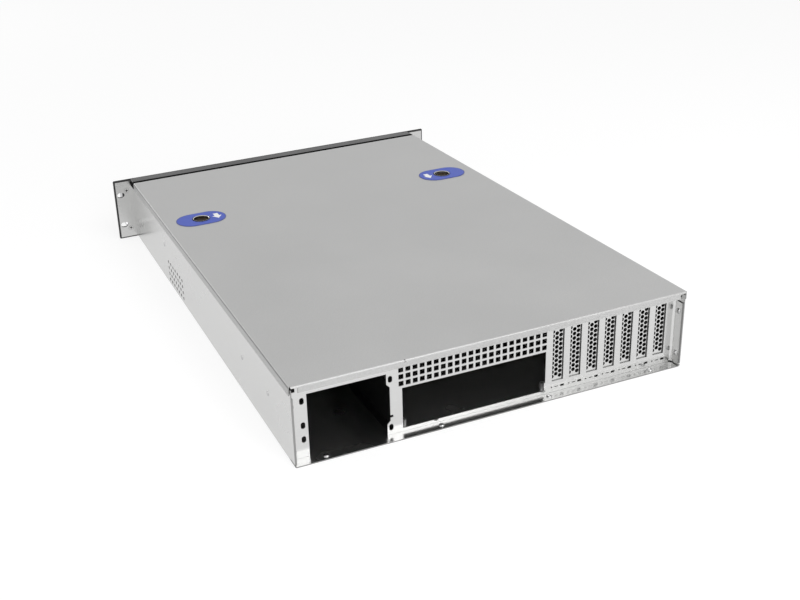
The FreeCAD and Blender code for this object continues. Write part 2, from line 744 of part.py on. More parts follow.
def front_panel(doc, s):
    """Black front panel with its rack ears, air slots, top flange and side lips."""
    front = s["front"]
    half = s["front_width"] / 2
    thick = s["front_steel"]
    top = s["cover_top"]
    face = plate(-half, half, s["front_foot"], top, 1.2, front, thick)
    side = s["cover_width"] / 2 - s["steel"] / 2
    low = s["cover_top"] - s["cover_side_drop"]
    path = [(-side, low), (-side, top - s["steel"] / 2), (side, top - s["steel"] / 2), (side, low)]
    reach = s["front_flange"] - thick / 2
    hood = folded(path, s["steel"], s["bend"], in_xz(front + thick / 2), vec(0, reach, 0), 3)
    step_half = s["half_width"] - s["lip_width"] - s["front_step_side"]
    step_front = front + s["front_flange"] - thick
    step = Part.makeBox(2 * step_half, thick + s["cover_seam"] + s["front_step_lap"], s["steel"])
    step.translate(vec(-step_half, step_front, s["wall_top"] - s["steel"]))
    riser = Part.makeBox(2 * step_half, s["steel"], 2 * s["steel"])
    riser.translate(vec(-step_half, step_front, s["wall_top"] - s["steel"]))
    shape = face.multiFuse([hood, step, riser])
    cuts = []
    y = front - 1
    deep = thick + 2
    for sign in SIDES.values():
        for level in (-0.5, 0.5):
            z = s["rack_height"] + level * s["rack_pitch"]
            x = sign * s["rack_span"] / 2
            cuts.append(obround(x, z, s["rack_slot_length"], s["rack_slot_height"], y, deep))
            hole = vec(sign * s["handle_place"], y, handle_level(s, level))
            cuts.append(prism(hole, s["handle_screw"] / 2 + s["screw_play"], 6, "y", deep))
    reach = s["half_width"] - s["front_slot_side"]
    columns = int(2 * reach / s["front_slot_pitch"])
    for k in range(columns):
        x = (k - (columns - 1) / 2) * s["front_slot_pitch"] - s["front_slot_pitch"] / 2
        wide = s["front_slot_width"] / 2
        edge = s["front_slot_edge"]
        cuts.append(plate(x - wide, x + wide, edge, top - edge, 0, y, deep))
    for z, bore in control_places(s):
        cuts.append(prism(vec(s["power_place"], y, z), bore / 2, 10 if bore > 5 else 6, "y", deep))
    shape = shape.cut(Part.Compound(cuts)).removeSplitter()
    return feature(doc, "front_panel", shape)


def handle_level(s, level):
    return s["rack_height"] + level * s["handle_pitch"]


def control_places(s):
    """Height and bore of the power button, the reset button and three lights."""
    places = [(s["power_height"], s["power_bore"]), (s["reset_height"], s["reset_bore"])]
    for k in range(3):
        places.append((s["light_height"] - k * s["light_pitch"], s["light_bore"]))
    return places


def ear_bracket(doc, s, name, sign):
    """Bright bracket behind one rack ear, bent round inside the side wall."""
    y = s["front_back"] + s["loose"]
    thick = s["ear_steel"]
    outer = s["front_width"] / 2 - s["ear_margin"]
    leg = s["inside"] - s["loose"] - thick / 2
    path = [
        (sign * leg, y + s["ear_leg"]),
        (sign * leg, y + thick / 2),
        (sign * (leg - 7), y + thick / 2),
    ]
    low = s["flange_low"] + 1.5
    high = s["wall_top"] - s["steel"] - 1.5
    inner = folded(path, thick, 0.8, in_xy(low), vec(0, 0, high - low))
    first = sign * (s["inside"] - 6)
    ends = sorted([first, sign * outer])
    ear = plate(ends[0], ends[1], s["front_foot"] + s["ear_margin"], s["cover_top"] - s["ear_margin"],
                0.8, y, thick)
    corner = Part.makeBox(12, 12, 12)
    corner.translate(vec(sign * (s["cover_width"] / 2 + 0.3) - (12 if sign > 0 else 0), y - 1,
                         s["cover_top"] - s["cover_side_drop"] - 0.3))
    ear = ear.cut(corner)
    cuts = []
    for level in (-0.5, 0.5):
        z = s["rack_height"] + level * s["rack_pitch"]
        cuts.append(obround(sign * s["rack_span"] / 2, z, s["rack_slot_length"] + s["ear_slot_play"],
                            s["rack_slot_height"] + s["ear_slot_play"], y - 1, thick + 2, 2))
        hole = vec(sign * s["handle_place"], y - 1, handle_level(s, level))
        cuts.append(prism(hole, s["handle_screw_head"] / 2 + s["screw_play"], 6, "y", thick + 2))
    shape = ear.fuse(inner).cut(Part.Compound(cuts)).removeSplitter()
    return feature(doc, name, shape)


def handle(doc, s, name, sign):
    """Bent rod handle with a tapped hole up each leg."""
    x = sign * s["handle_place"]
    radius = s["handle_rod"] / 2
    low = handle_level(s, -0.5)
    high = handle_level(s, 0.5)
    start = s["front"]
    reach = s["front"] - s["handle_reach"] + radius
    bend = s["handle_bend"]
    near = bend * (1 - math.cos(math.pi / 6))
    far = bend * (1 - math.sin(math.pi / 6))
    lower = [(start, low), (reach + bend, low), (reach + far, low + near), (reach + near, low + far),
             (reach, low + bend)]
    upper = [(y, low + high - z) for y, z in lower]
    rod = bent_rod([vec(x, y, z) for y, z in lower + upper[::-1]], radius, 8)
    cuts = []
    for level in (low, high):
        cuts.append(prism(vec(x, start, level), s["handle_screw"] / 2, 6, "y", -s["handle_screw_depth"]))
    return feature(doc, name, rod.cut(Part.Compound(cuts)))


def bent_rod(path, radius, sides):
    """Rod with flat sides along straight runs that meet at mitres, all in one upright plane."""
    across = vec(1, 0, 0)
    rings = []
    for i, point in enumerate(path):
        into = (point - path[i - 1]).normalize() if i > 0 else (path[1] - path[0]).normalize()
        away = (path[i + 1] - point).normalize() if i < len(path) - 1 else into
        along = (into + away).normalize()
        normal = along.cross(across)
        stretch = 1 / along.dot(into)
        rings.append([point + across * p.x + normal * (p.y * stretch) for p in ring_of(radius, sides, 0)])
    rod = skinned(rings)
    if rod.Volume < 0:
        rod.reverse()
    return rod


def handle_screws(doc, s):
    """Flat-headed screws from behind the ears into the handles."""
    screws = []
    seat = s["front_back"] + s["loose"]
    head = s["handle_screw_head"] / 2
    shank = s["handle_screw"] / 2 - 0.05
    reach = s["front_steel"] + s["loose"] + s["handle_screw_depth"] - 2
    profile = [(shank, -reach), (shank, 0), (head, 0), (head, s["ear_steel"] + 0.1)]
    for sign in SIDES.values():
        for level in (-0.5, 0.5):
            centre = vec(sign * s["handle_place"], seat, handle_level(s, level))
            screws.append(stacked(profile, 6, centre, vec(0, 1, 0)))
    return feature(doc, "handle_screws", Part.Compound(screws))


def fan_wall(doc, s):
    """Partition across the case: fan openings below and the latches' shelf on top."""
    back = s["rear"] - s["wall_place"]
    thick = s["steel"]
    low = s["steel"] + s["loose"]
    path = [
        (back + s["wall_flange"], low + thick / 2),
        (back - thick / 2, low + thick / 2),
        (back - thick / 2, s["wall_height"] - thick / 2),
        (back + s["wall_shelf"], s["wall_height"] - thick / 2),
    ]
    reach = s["inside"] - s["loose"] - 2
    sheet = folded(path, thick, s["bend"], in_yz(-reach), vec(2 * reach, 0, 0))
    flanges = []
    for sign in SIDES.values():
        side = s["inside"] - s["loose"] - thick / 2
        turn = [(sign * (reach - 6), back - thick / 2), (sign * side, back - thick / 2),
                (sign * side, back - s["wall_flange"])]
        flanges.append(folded(turn, thick, s["bend"], in_xy(low + 6), vec(0, 0, s["wall_height"] - low - 12)))
    shape = sheet.multiFuse(flanges)
    cuts = []
    for k in range(FANS):
        x = (k - (FANS - 1) / 2) * s["fan_pitch"]
        centre = vec(x, back - thick - 1, s["fan_height"])
        cuts.append(prism(centre, s["fan_hole"] / 2, 18, "y", thick + 2))
    for sign in SIDES.values():
        bore = s["latch_stem"] / 2 + s["latch_stem_gap"]
        place = vec(sign * s["latch_place"], s["latch_y"], s["wall_height"] - thick - 1)
        cuts.append(prism(place, bore, 6, "z", thick + 2))
    shape = shape.cut(Part.Compound(cuts)).removeSplitter()
    return feature(doc, "fan_wall", shape)


def latch_button_top(s):
    return s["cover_under"] - s["latch_head_gap"]


def latch_button(doc, s, name, sign):
    """Button with a dished head, a guided stem and a groove for its clip."""
    top = latch_button_top(s)
    head = s["latch_head"] / 2
    stem = s["latch_stem"] / 2
    under = top - s["latch_head_height"]
    low = s["wall_height"] - s["steel"] - s["latch_stem_tail"]
    groove_top = s["wall_height"] - s["steel"] - s["loose"]
    groove_low = groove_top - 0.9
    place = vec(sign * s["latch_place"], s["latch_y"], 0)
    upward = vec(0, 0, 1)
    groove = stem - s["latch_groove"]
    profile = [(stem, low), (stem, groove_low), (groove, groove_low), (groove, groove_top)]
    profile += [(stem, groove_top), (stem, under + 0.2)]
    shaft = stacked(profile, 6, place, upward)
    cap = stacked([(head, under), (head, top - 0.4), (head - 0.4, top)], LATCH_SIDES, place, upward)
    dish = prism(place + vec(0, 0, top - 0.5), head - 3.0, LATCH_SIDES, "z", 2)
    return feature(doc, name, cap.fuse(shaft).cut(dish))


def latch_clip(doc, s, name, sign):
    """Open spring clip in the button stem's groove, under the shelf."""
    x = sign * s["latch_place"]
    y = s["latch_y"]
    top = s["wall_height"] - s["steel"] - s["loose"] - 0.05
    disc = prism(vec(x, y, top - 0.8), s["latch_clip"] / 2, 8, "z", 0.8)
    inner = s["latch_stem"] / 2 - s["latch_groove"] + 0.05
    bore = prism(vec(x, y, top - 1.4), inner, 6, "z", 2)
    mouth = Part.makeBox(2 * inner - 1, 8, 2)
    mouth.translate(vec(x - inner + 0.5, y, top - 1.4))
    return feature(doc, name, disc.cut(bore.fuse(mouth)))


def latch_spring(doc, s, name, sign):
    """Leaf spring on the shelf that lifts the button's head."""
    x = sign * s["latch_place"]
    y = s["latch_y"]
    shelf = s["wall_height"]
    thick = s["leaf_steel"]
    reach = latch_button_top(s) - s["latch_head_height"] - s["latch_travel"] - 0.3
    path = [(x + sign * 26, shelf + thick / 2 + 0.1), (x + sign * 13, shelf + thick / 2 + 0.1),
            (x - sign * 7.5, reach - thick / 2 - 0.05)]
    leaf = folded(path, thick, 1.0, in_xz(y - s["leaf_width"] / 2), vec(0, s["leaf_width"], 0))
    bore = prism(vec(x, y, shelf - 2), s["latch_stem"] / 2 + 0.8, 6, "z", 8)
    rivet = prism(vec(x + sign * 21, y, shelf + 0.3), 2.2, 8, "z", 0.9)
    return feature(doc, name, leaf.cut(bore).fuse(rivet))


def top_cover(doc, s):
    """Cover folded from one sheet, with side drops, a rear drop and two latch holes."""
    thick = s["cover_steel"]
    side = s["cover_width"] / 2 - thick / 2
    top = s["cover_top"] - thick / 2
    low = s["cover_top"] - s["cover_side_drop"]
    front = s["front"] + s["front_flange"] + s["cover_seam"]
    end = s["rear"] + s["cover_overhang"]
    drops = folded([(-side, low), (-side, top), (side, top), (side, low)], thick, s["bend"], in_xz(front),
                   vec(0, end - front - s["bend"] - thick, 0), 4)
    path = [(end - 30, top), (end - thick / 2, top), (end - thick / 2, s["cover_top"] - s["cover_rear_drop"])]
    tail_width = s["cover_width"] - 2 * s["bend"] - 2 * thick
    tail = folded(path, thick, s["bend"], in_yz(-tail_width / 2), vec(tail_width, 0, 0), 4)
    shape = drops.fuse(tail)
    cuts = []
    for sign in SIDES.values():
        centre = vec(sign * s["latch_place"], s["latch_y"], s["cover_under"] - 1)
        cuts.append(prism(centre, (s["latch_ring"] + s["latch_bore"]) / 4, LATCH_SIDES, "z", thick + 2))
    past = s["cover_width"] / 2 + 1
    inner = s["cover_width"] / 2 - s["cover_corner"]
    corners = [
        (past, s["cover_top"] - 1.6),
        (inner, s["cover_top"] - 2.4),
        (inner + 1.2, low - 1),
        (past, low - 1),
    ]
    relief = outline(corners, [0, 0.6, 0, 0], in_xz(end - thick - 0.2), 2)
    cuts.append(Part.Face(relief).extrude(vec(0, thick + 2, 0)))
    notch = Part.makeBox(s["cover_notch_width"], 3, 3)
    notch.translate(vec(s["cover_notch_place"] - s["cover_notch_width"] / 2, end - 1.4, s["cover_top"] - 2.4))
    cuts.append(notch)
    shape = shape.cut(Part.Compound(cuts)).removeSplitter()
    return feature(doc, "top_cover", shape)


def latch_pad(doc, s, name, sign):
    """Thin blue pad round one latch hole."""
    x = sign * s["latch_place"]
    y = s["latch_y"]
    half_length = s["latch_pad_length"] / 2
    half_width = s["latch_pad_width"] / 2
    points = [(x - half_length, y - half_width), (x + half_length, y - half_width),
              (x + half_length, y + half_width), (x - half_length, y + half_width)]
    wire = outline(points, [half_width - 0.05] * 4, in_xy(s["cover_top"]), 5)
    pad_shape = Part.Face(wire).extrude(vec(0, 0, s["latch_pad_height"]))
    bore = prism(vec(x, y, s["cover_top"] - 1), s["latch_ring"] / 2 + 0.05, LATCH_SIDES, "z", 3)
    return feature(doc, name, pad_shape.cut(bore))


def latch_ring(doc, s, name, sign):
    """Bright collar pressed into the cover, with a bevelled rim."""
    outer = s["latch_ring"] / 2
    bore = s["latch_bore"] / 2
    neck = (outer + bore) / 2
    under = s["cover_under"]
    face = s["cover_top"]
    top = face + s["latch_ring_height"]
    place = vec(sign * s["latch_place"], s["latch_y"], 0)
    profile = [(neck, under), (neck, face), (outer, face), (outer, top - 0.4), (outer - 0.4, top)]
    collar = stacked(profile, LATCH_SIDES, place, vec(0, 0, 1))
    opening = prism(place + vec(0, 0, under - 1), bore, LATCH_SIDES, "z", 5)
    return feature(doc, name, collar.cut(opening))


def latch_arrows(doc, s):
    """White arrows on the pads that point the way the cover slides."""
    arrows = []
    for sign in SIDES.values():
        x = sign * (s["latch_place"] - s["arrow_place"])
        y = s["latch_y"]
        half = s["arrow_width"] / 2
        reach = s["arrow_length"] / 2
        points = [(x, y + reach), (x - half, y), (x - half / 2, y), (x - half / 2, y - reach),
                  (x + half / 2, y - reach), (x + half / 2, y), (x + half, y)]
        wire = outline(points, [0] * 7, in_xy(s["cover_top"] + s["latch_pad_height"]))
        arrows.append(Part.Face(wire).extrude(vec(0, 0, s["arrow_height"])))
    return feature(doc, "latch_arrows", Part.Compound(arrows))


def power_bay_guide(doc, s):
    """Upright sheet between the power supply bay and the board."""
    thick = s["steel"]
    y = s["panel_face"] - 0.5 - s["guide_length"]
    low = s["steel"] + s["loose"]
    path = [
        (s["guide_place"] + s["guide_foot"], low + thick / 2),
        (s["guide_place"] + thick / 2, low + thick / 2),
        (s["guide_place"] + thick / 2, s["guide_height"]),
    ]
    shape = folded(path, thick, s["bend"], in_xz(y), vec(0, s["guide_length"], 0))
    cuts = []
    for k in range(3):
        middle = y + s["guide_length"] * (k + 0.5) / 3
        slot = obround(0, 0, 40, 9, 0, 10, 1)
        slot.rotate(vec(0, 0, 0), vec(0, 0, 1), 90)
        slot.translate(vec(s["guide_place"] + 6, middle, s["guide_height"] * 2 / 3))
        cuts.append(slot)
    return feature(doc, "power_bay_guide", shape.cut(Part.Compound(cuts)))


def power_bay_rail(doc, s):
    """Angle on the side wall that carries the power supply's edge."""
    thick = s["steel"]
    side = s["inside"] - s["loose"] - thick / 2
    path = [
        (side, s["rail_height"] + s["rail_rise"]),
        (side, s["rail_height"] - thick / 2),
        (side - s["rail_width"], s["rail_height"] - thick / 2),
    ]
    y = s["panel_face"] - 3 - s["rail_length"]
    shape = folded(path, thick, s["bend"], in_xz(y), vec(0, s["rail_length"], 0))
    return feature(doc, "power_bay_rail", shape)


def drive_cage(doc, s):
    """Open cage for the drives, folded like a hat and riveted to the floor."""
    thick = s["steel"]
    half = s["cage_width"] / 2
    low = s["steel"] + s["loose"] + thick / 2
    path = [
        (-half - s["cage_foot"], low),
        (-half, low),
        (-half, s["cage_height"]),
        (half, s["cage_height"]),
        (half, low),
        (half + s["cage_foot"], low),
    ]
    y = s["front"] + s["cage_front"]
    length = s["cage_length"]
    shape = folded(path, thick, s["bend"], in_xz(y), vec(0, length, 0))
    cuts = []
    count = int((s["cage_width"] - s["cage_slot"]) / s["cage_slot_pitch"]) + 1
    for k in range(count):
        x = (k - (count - 1) / 2) * s["cage_slot_pitch"]
        wide = s["cage_slot"] / 2
        slot = Part.makeBox(2 * wide, length / 2, 6)
        slot.translate(vec(x - wide, y + length / 4, s["cage_height"] - 3))
        cuts.append(slot)
    for z in (0.2, 0.6):
        for share in (0.2, 0.8):
            place = vec(-half - 5, y + length * share, s["cage_height"] * z)
            cuts.append(prism(place, 1.8, 4, "x", s["cage_width"] + 10))
    return feature(doc, "drive_cage", shape.cut(Part.Compound(cuts)))


def standoffs(doc, s):
    """Nine hexagonal standoffs for the main board; the corner ones' tapped holes are round."""
    posts = []
    columns = [0, s["column_two"], s["column_three"]]
    rows = [0, s["row_two"], s["row_three"]]
    for i, dx in enumerate(columns):
        for j, dy in enumerate(rows):
            base = vec(s["standoff_first"] - dx, s["rear"] - s["standoff_row"] - dy, s["steel"])
            post = prism(base, s["standoff_flats"] / 2, 6, "z", s["standoff_height"])
            floor = base + vec(0, 0, s["standoff_height"] / 4)
            if i != 1 and j != 1:
                hole = Part.makeCylinder(s["standoff_thread"] / 2, s["standoff_height"], floor)
            else:
                hole = prism(floor, s["standoff_thread"] / 2, 4, "z", s["standoff_height"])
            posts.append(post.cut(hole))
    return feature(doc, "standoffs", Part.Compound(posts))


def rivet_head(s, place, direction, shank):
    """Low domed rivet head on a surface, with its shank through the sheet."""
    radius = s["rivet_head"] / 2
    rise = s["rivet_rise"]
    profile = [(radius, 0), (radius * 0.78, rise * 0.62), (radius * 0.3, rise)]
    if shank > 0:
        neck = s["rivet_shank"] / 2 - 0.1
        profile = [(neck, -shank), (neck, 0)] + profile
    return stacked(profile, 6, place, direction)


def floor_rivets(doc, s):
    """Four domed rivets along the floor's rear strip."""
    heads = [rivet_head(s, place, vec(0, 0, 1), s["steel"]) for place in floor_rivet_places(s)]
    return feature(doc, "floor_rivets", Part.Compound(heads))


def side_rivets(doc, s):
    """Domed rivets on the side walls and inside the rear panel's side flanges."""
    heads = []
    fan_rivet = (s["side_rivet_far"], s["wall_height"] * 0.65)
    level = s["side_rivet_height"]
    bay_rivets = [(s["side_rivet_middle"], level), (s["side_rivet_near"], level)]
    for side, sign in SIDES.items():
        for distance, z in [fan_rivet] + (bay_rivets if side == "left" else []):
            place = vec(sign * s["half_width"], s["rear"] - distance, z)
            heads.append(rivet_head(s, place, vec(sign, 0, 0), 0))
        for z in (s["flange_rivet_low"], s["flange_rivet_high"]):
            face = s["inside"] - s["loose"] - s["steel"]
            place = vec(sign * face, s["rear"] - s["flange_rivet_inset"], z)
            heads.append(rivet_head(s, place, vec(-sign, 0, 0), 0))
    return feature(doc, "side_rivets", Part.Compound(heads))


def control_module(doc, s):
    """Small housing behind the front panel that carries the buttons and lights."""
    half = s["module_width"] / 2
    low = s["light_height"] - 2 * s["light_pitch"] - s["module_edge"] / 2
    high = s["power_height"] + s["module_edge"]
    split = s["reset_height"] - s["reset_bore"] - s["module_wall"]
    y = s["front_back"]
    x = s["power_place"]
    block = Part.makeBox(2 * half, s["module_depth"], high - low)
    block.translate(vec(x - half, y, low))
    wall = s["module_wall"]
    hollow = Part.makeBox(2 * half - 2 * wall, s["module_depth"] - wall, high - wall - split)
    hollow.translate(vec(x - half + wall, y, split))
    bores = [hollow]
    for k in range(3):
        z = s["light_height"] - k * s["light_pitch"]
        bores.append(prism(vec(x, y, z), s["light_bore"] / 2, 6, "y", 5))
    return feature(doc, "control_module", block.cut(Part.Compound(bores)))


def push_button(doc, s, name, height, bore):
    """Round push button with a collar that keeps it behind the panel."""
    radius = bore / 2 - s["button_gap"]
    collar = bore / 2 + s["button_collar"]
    back = s["front_back"] + 0.05 - s["front"]
    tip = -s["button_proud"]
    profile = [(radius - 0.5, tip), (radius, tip + 0.5), (radius, back), (collar, back), (collar, back + 1.4),
               (1.6, back + 1.4), (1.6, back + 5.0)]
    shape = stacked(profile, 10, vec(s["power_place"], s["front"], height), vec(0, 1, 0))
    return feature(doc, name, shape)


def status_lights(doc, s):
    """Three light pipes, flush with the front panel."""
    pipes = []
    for k in range(3):
        z = s["light_height"] - k * s["light_pitch"]
        place = vec(s["power_place"], s["front"], z)
        pipes.append(prism(place, s["light_bore"] / 2 - 0.05, 6, "y", s["front_steel"] + 4))
    return feature(doc, "status_lights", Part.Compound(pipes))


def check_and_write(doc, nodes):
    """Stops on any failed object or poor shape, then writes one file for each node."""
    doc.recompute()
    for obj in doc.Objects:
        if "Invalid" in obj.State or "Error" in obj.State:
            raise RuntimeError("failed object " + obj.Label)
    for obj in nodes:
        if obj.Shape.isNull() or not obj.Shape.isValid():
            raise RuntimeError("poor shape " + obj.Label)
    for obj in nodes:
        obj.Shape.exportStep("parts/%s.step" % obj.Label)
    box = Part.Compound([obj.Shape for obj in nodes]).BoundBox
    print("nodes", len(nodes), "box", box)


def main():
    os.makedirs("parts", exist_ok=True)
    doc = FreeCAD.newDocument("server_case")
    s = read_sizes(make_sheet(doc))
    nodes = [
        chassis_tray(doc, s),
        rear_panel(doc, s),
        slot_screws(doc, s),
        front_panel(doc, s),
        handle_screws(doc, s),
        fan_wall(doc, s),
        power_bay_guide(doc, s),
        power_bay_rail(doc, s),
        drive_cage(doc, s),
        standoffs(doc, s),
        floor_rivets(doc, s),
        side_rivets(doc, s),
        control_module(doc, s),
        push_button(doc, s, "power_button", s["power_height"], s["power_bore"]),
        push_button(doc, s, "reset_button", s["reset_height"], s["reset_bore"]),
        status_lights(doc, s),
        top_cover(doc, s),
        latch_arrows(doc, s),
    ]
    for index in range(CARD_SLOTS):
        nodes.append(slot_cover(doc, s, index))
    for side, sign in SIDES.items():
        nodes.append(ear_bracket(doc, s, "ear_bracket_" + side, sign))
        nodes.append(handle(doc, s, "handle_" + side, sign))
        nodes.append(latch_button(doc, s, "latch_button_" + side, sign))
        nodes.append(latch_clip(doc, s, "latch_clip_" + side, sign))
        nodes.append(latch_spring(doc, s, "latch_spring_" + side, sign))
        nodes.append(latch_pad(doc, s, "latch_pad_" + side, sign))
        nodes.append(latch_ring(doc, s, "latch_ring_" + side, sign))
    check_and_write(doc, nodes)


main()
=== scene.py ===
"""Dresses the two-unit rackmount server case and stages it as its photograph shows it.

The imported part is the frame: every piece here rides on one of its bodies.
Pieces whose bends, holes or edges show are built again in finer meshes.
Each surface gets a procedural finish.
Piece sizes are in millimetres, in the part's own frame: X across the case, Y from front to rear, Z up.
"""

import logging
import math
from collections.abc import Iterable
from dataclasses import dataclass, field, replace
from enum import Enum
from typing import Any

import bmesh
import bpy
from mathutils import Matrix, Vector
from mathutils.geometry import tessellate_polygon

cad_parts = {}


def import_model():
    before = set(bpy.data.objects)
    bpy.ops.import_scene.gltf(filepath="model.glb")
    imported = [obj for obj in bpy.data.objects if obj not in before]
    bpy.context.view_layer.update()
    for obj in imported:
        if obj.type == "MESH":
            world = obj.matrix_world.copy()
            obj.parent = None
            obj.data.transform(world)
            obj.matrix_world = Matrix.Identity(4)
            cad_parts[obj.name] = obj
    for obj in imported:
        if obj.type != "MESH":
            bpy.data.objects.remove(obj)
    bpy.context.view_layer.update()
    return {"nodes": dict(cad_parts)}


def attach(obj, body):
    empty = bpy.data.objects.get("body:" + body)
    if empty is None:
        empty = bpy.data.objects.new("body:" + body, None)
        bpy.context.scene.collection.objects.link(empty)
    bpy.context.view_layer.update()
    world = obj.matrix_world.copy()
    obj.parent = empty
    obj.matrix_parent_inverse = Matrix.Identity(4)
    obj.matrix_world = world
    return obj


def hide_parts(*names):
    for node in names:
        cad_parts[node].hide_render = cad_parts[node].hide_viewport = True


LOG = logging.getLogger("server_case")
MM = 0.001

Point = tuple[float, float]
Place = tuple[float, float, float]
Loop = list[Point]


class Side(Enum):
    """The two sides of the case, by the sign of X."""

    LEFT = 1
    RIGHT = -1


class Grain(Enum):
    """How the fine relief of a surface runs."""

    EVEN = "even"
    ROLLED = "rolled"
    CELLS = "cells"


class Facing(Enum):
    """The plane that a flat pattern lies in, as the directions of u, v and the outward face."""

    UP = ((1, 0, 0), (0, 1, 0), (0, 0, 1))
    DOWN = ((1, 0, 0), (0, 1, 0), (0, 0, -1))
    REARWARD = ((1, 0, 0), (0, 0, 1), (0, 1, 0))
    FORWARD = ((1, 0, 0), (0, 0, 1), (0, -1, 0))


@dataclass(frozen=True)
class Graph:
    """A tree of shader nodes, with a short way to add to it."""

    tree: bpy.types.NodeTree

    def add(self, kind: str, inputs: dict[str | int, Any], **settings: str) -> bpy.types.Node:
        """Adds a node.

        Args:
            kind: The node's kind, without the prefix that all kinds share.
            inputs: Its inputs by name or number, as sockets to link or values to set.
            settings: The node's own settings.

        Returns:
            The node.
        """
        node = self.tree.nodes.new(f"ShaderNode{kind}")
        for name, setting in settings.items():
            setattr(node, name, setting)
        self.feed(node, inputs)
        return node

    def feed(self, node: bpy.types.Node, inputs: dict[str | int, Any]) -> None:
        """Links or sets a node's inputs.

        Args:
            node: The node.
            inputs: Its inputs by name or number, as sockets to link or values to set.
        """
        for name, value in inputs.items():
            if isinstance(value, bpy.types.NodeSocket):
                self.tree.links.new(value, node.inputs[name])
            else:
                node.inputs[name].default_value = value


@dataclass(frozen=True)
class Finish:
    """One surface finish, with its colour, gloss, fine relief and wear.

    Attributes:
        name: The material's name.
        colour: Linear base colour.
        metallic: 1 for bare metal, 0 for paint and plastic.
        roughness: Middle roughness.
        grain: How the fine relief runs.
        grain_size: Size of the fine relief, in millimetres.
        relief: Height of the fine relief, in millimetres.
        mottle: Share by which the colour changes over the surface.
        wear: Amount by which handling changes the roughness.
        coat: Weight of a clear coat.
        across: True if a rolled grain runs across the case rather than along it.
        gleam: Strength of the plain reflection of paint and plastic; 0.5 is the usual one.
    """

    name: str
    colour: Place
    metallic: float
    roughness: float
    grain: Grain = Grain.EVEN
    grain_size: float = 0.8
    relief: float = 0.01
    mottle: float = 0.05
    wear: float = 0.06
    coat: float = 0.0
    across: bool = False
    gleam: float = 0.5

    def material(self) -> bpy.types.Material:
        """Builds the finish as a material, or returns the one already built.

        Returns:
            The material.
        """
        name = f"finish_{self.name}"
        known = bpy.data.materials.get(name)
        if known is not None:
            return known
        material = bpy.data.materials.new(name)
        material.use_nodes = True
        graph = Graph(material.node_tree)
        place = graph.add("TexCoord", {}).outputs["Object"]
        fine = self._fine_pattern(graph, place)
        broad = graph.add("TexNoise", {"Scale": 9.0, "Detail": 4.0, "Vector": place}).outputs["Fac"]
        bump = graph.add("Bump", {"Strength": 0.6, "Distance": self.relief * MM, "Height": fine})
        gloss = {
            "Value": broad,
            "From Min": 0.3,
            "From Max": 0.7,
            "To Min": max(0.03, self.roughness - self.wear),
            "To Max": min(1.0, self.roughness + self.wear),
        }
        surface = {
            "Base Color": self._colour(graph, fine, broad),
            "Metallic": self.metallic,
            "Roughness": graph.add("MapRange", gloss).outputs["Result"],
            "Specular IOR Level": self.gleam,
            "Normal": bump.outputs["Normal"],
        }
        if self.coat > 0:
            surface |= {"Coat Weight": self.coat, "Coat Roughness": 0.12}
        graph.feed(graph.tree.nodes["Principled BSDF"], surface)
        return material

    def _fine_pattern(self, graph: Graph, place: bpy.types.NodeSocket) -> bpy.types.NodeSocket:
        """Makes the fine grain's pattern.

        Args:
            graph: The material's nodes.
            place: The surface's coordinates.

        Returns:
            The pattern, from 0 to 1.
        """
        scale = 1.0 / (self.grain_size * MM)
        if self.grain is Grain.CELLS:
            cells = graph.add("TexVoronoi", {"Scale": scale, "Randomness": 1.0, "Vector": place})
            return graph.add("SeparateColor", {"Color": cells.outputs["Color"]}).outputs["Red"]
        if self.grain is Grain.ROLLED:
            stretch = (0.02, 1.0, 1.0) if self.across else (1.0, 0.02, 1.0)
            place = graph.add("Mapping", {"Scale": stretch, "Vector": place}).outputs["Vector"]
        return graph.add("TexNoise", {"Scale": scale, "Detail": 3.0, "Vector": place}).outputs["Fac"]

    def _colour(
        self, graph: Graph, fine: bpy.types.NodeSocket, broad: bpy.types.NodeSocket
    ) -> bpy.types.NodeSocket:
        """Lets the colour change a little with the fine grain and from place to place.

        Args:
            graph: The material's nodes.
            fine: The fine pattern.
            broad: The broad pattern.

        Returns:
            The colour.
        """
        blend = graph.add("Mix", {"Factor": 0.35, "A": fine, "B": broad}, data_type="FLOAT")
        ramp = graph.add("ValToRGB", {"Fac": blend.outputs["Result"]})
        ends = ((0.3, 1 - self.mottle), (0.7, 1 + self.mottle))
        for element, (position, share) in zip(ramp.color_ramp.elements, ends):
            element.position = position
            element.color = (*(min(1.0, channel * share) for channel in self.colour), 1)
        return ramp.outputs["Color"]


TRAY_STEEL = Finish("tray_steel", (0.65, 0.65, 0.645), 1.0, 0.26, Grain.ROLLED, 0.5, 0.0012, 0.03, 0.025)
PANEL_STEEL = replace(
    TRAY_STEEL, name="panel_steel", colour=(0.71, 0.71, 0.705), roughness=0.17, wear=0.03, across=True
)
EDGE_STEEL = Finish("edge_steel", (0.34, 0.34, 0.338), 1.0, 0.42, Grain.ROLLED, 0.3, 0.004, 0.1)
COVER_GREY = Finish("cover_grey", (0.42, 0.42, 0.417), 0.4, 0.38, Grain.EVEN, 1.1, 0.022, 0.12, 0.04)
# Darker grey for the cover's cut edges and for a painted dark reflection line along its side bends.
COVER_EDGE_AND_SHADE = replace(COVER_GREY, name="cover_edge_and_shade", colour=(0.22, 0.22, 0.218), gleam=0.2)
FRONT_BLACK = Finish(
    "front_black", (0.018, 0.018, 0.019), 0.0, 0.4, Grain.EVEN, 0.4, 0.02, 0.1, 0.05, gleam=0.6
)
# Near-black matt for the front panel's cut edges, and painted shade on the hood's sides, on a strip at its
# rear and on the step behind it.
EDGE_AND_SHADE_BLACK = replace(FRONT_BLACK, name="edge_and_shade_black", colour=(0.004, 0.004, 0.004), roughness=0.8, gleam=0.05)
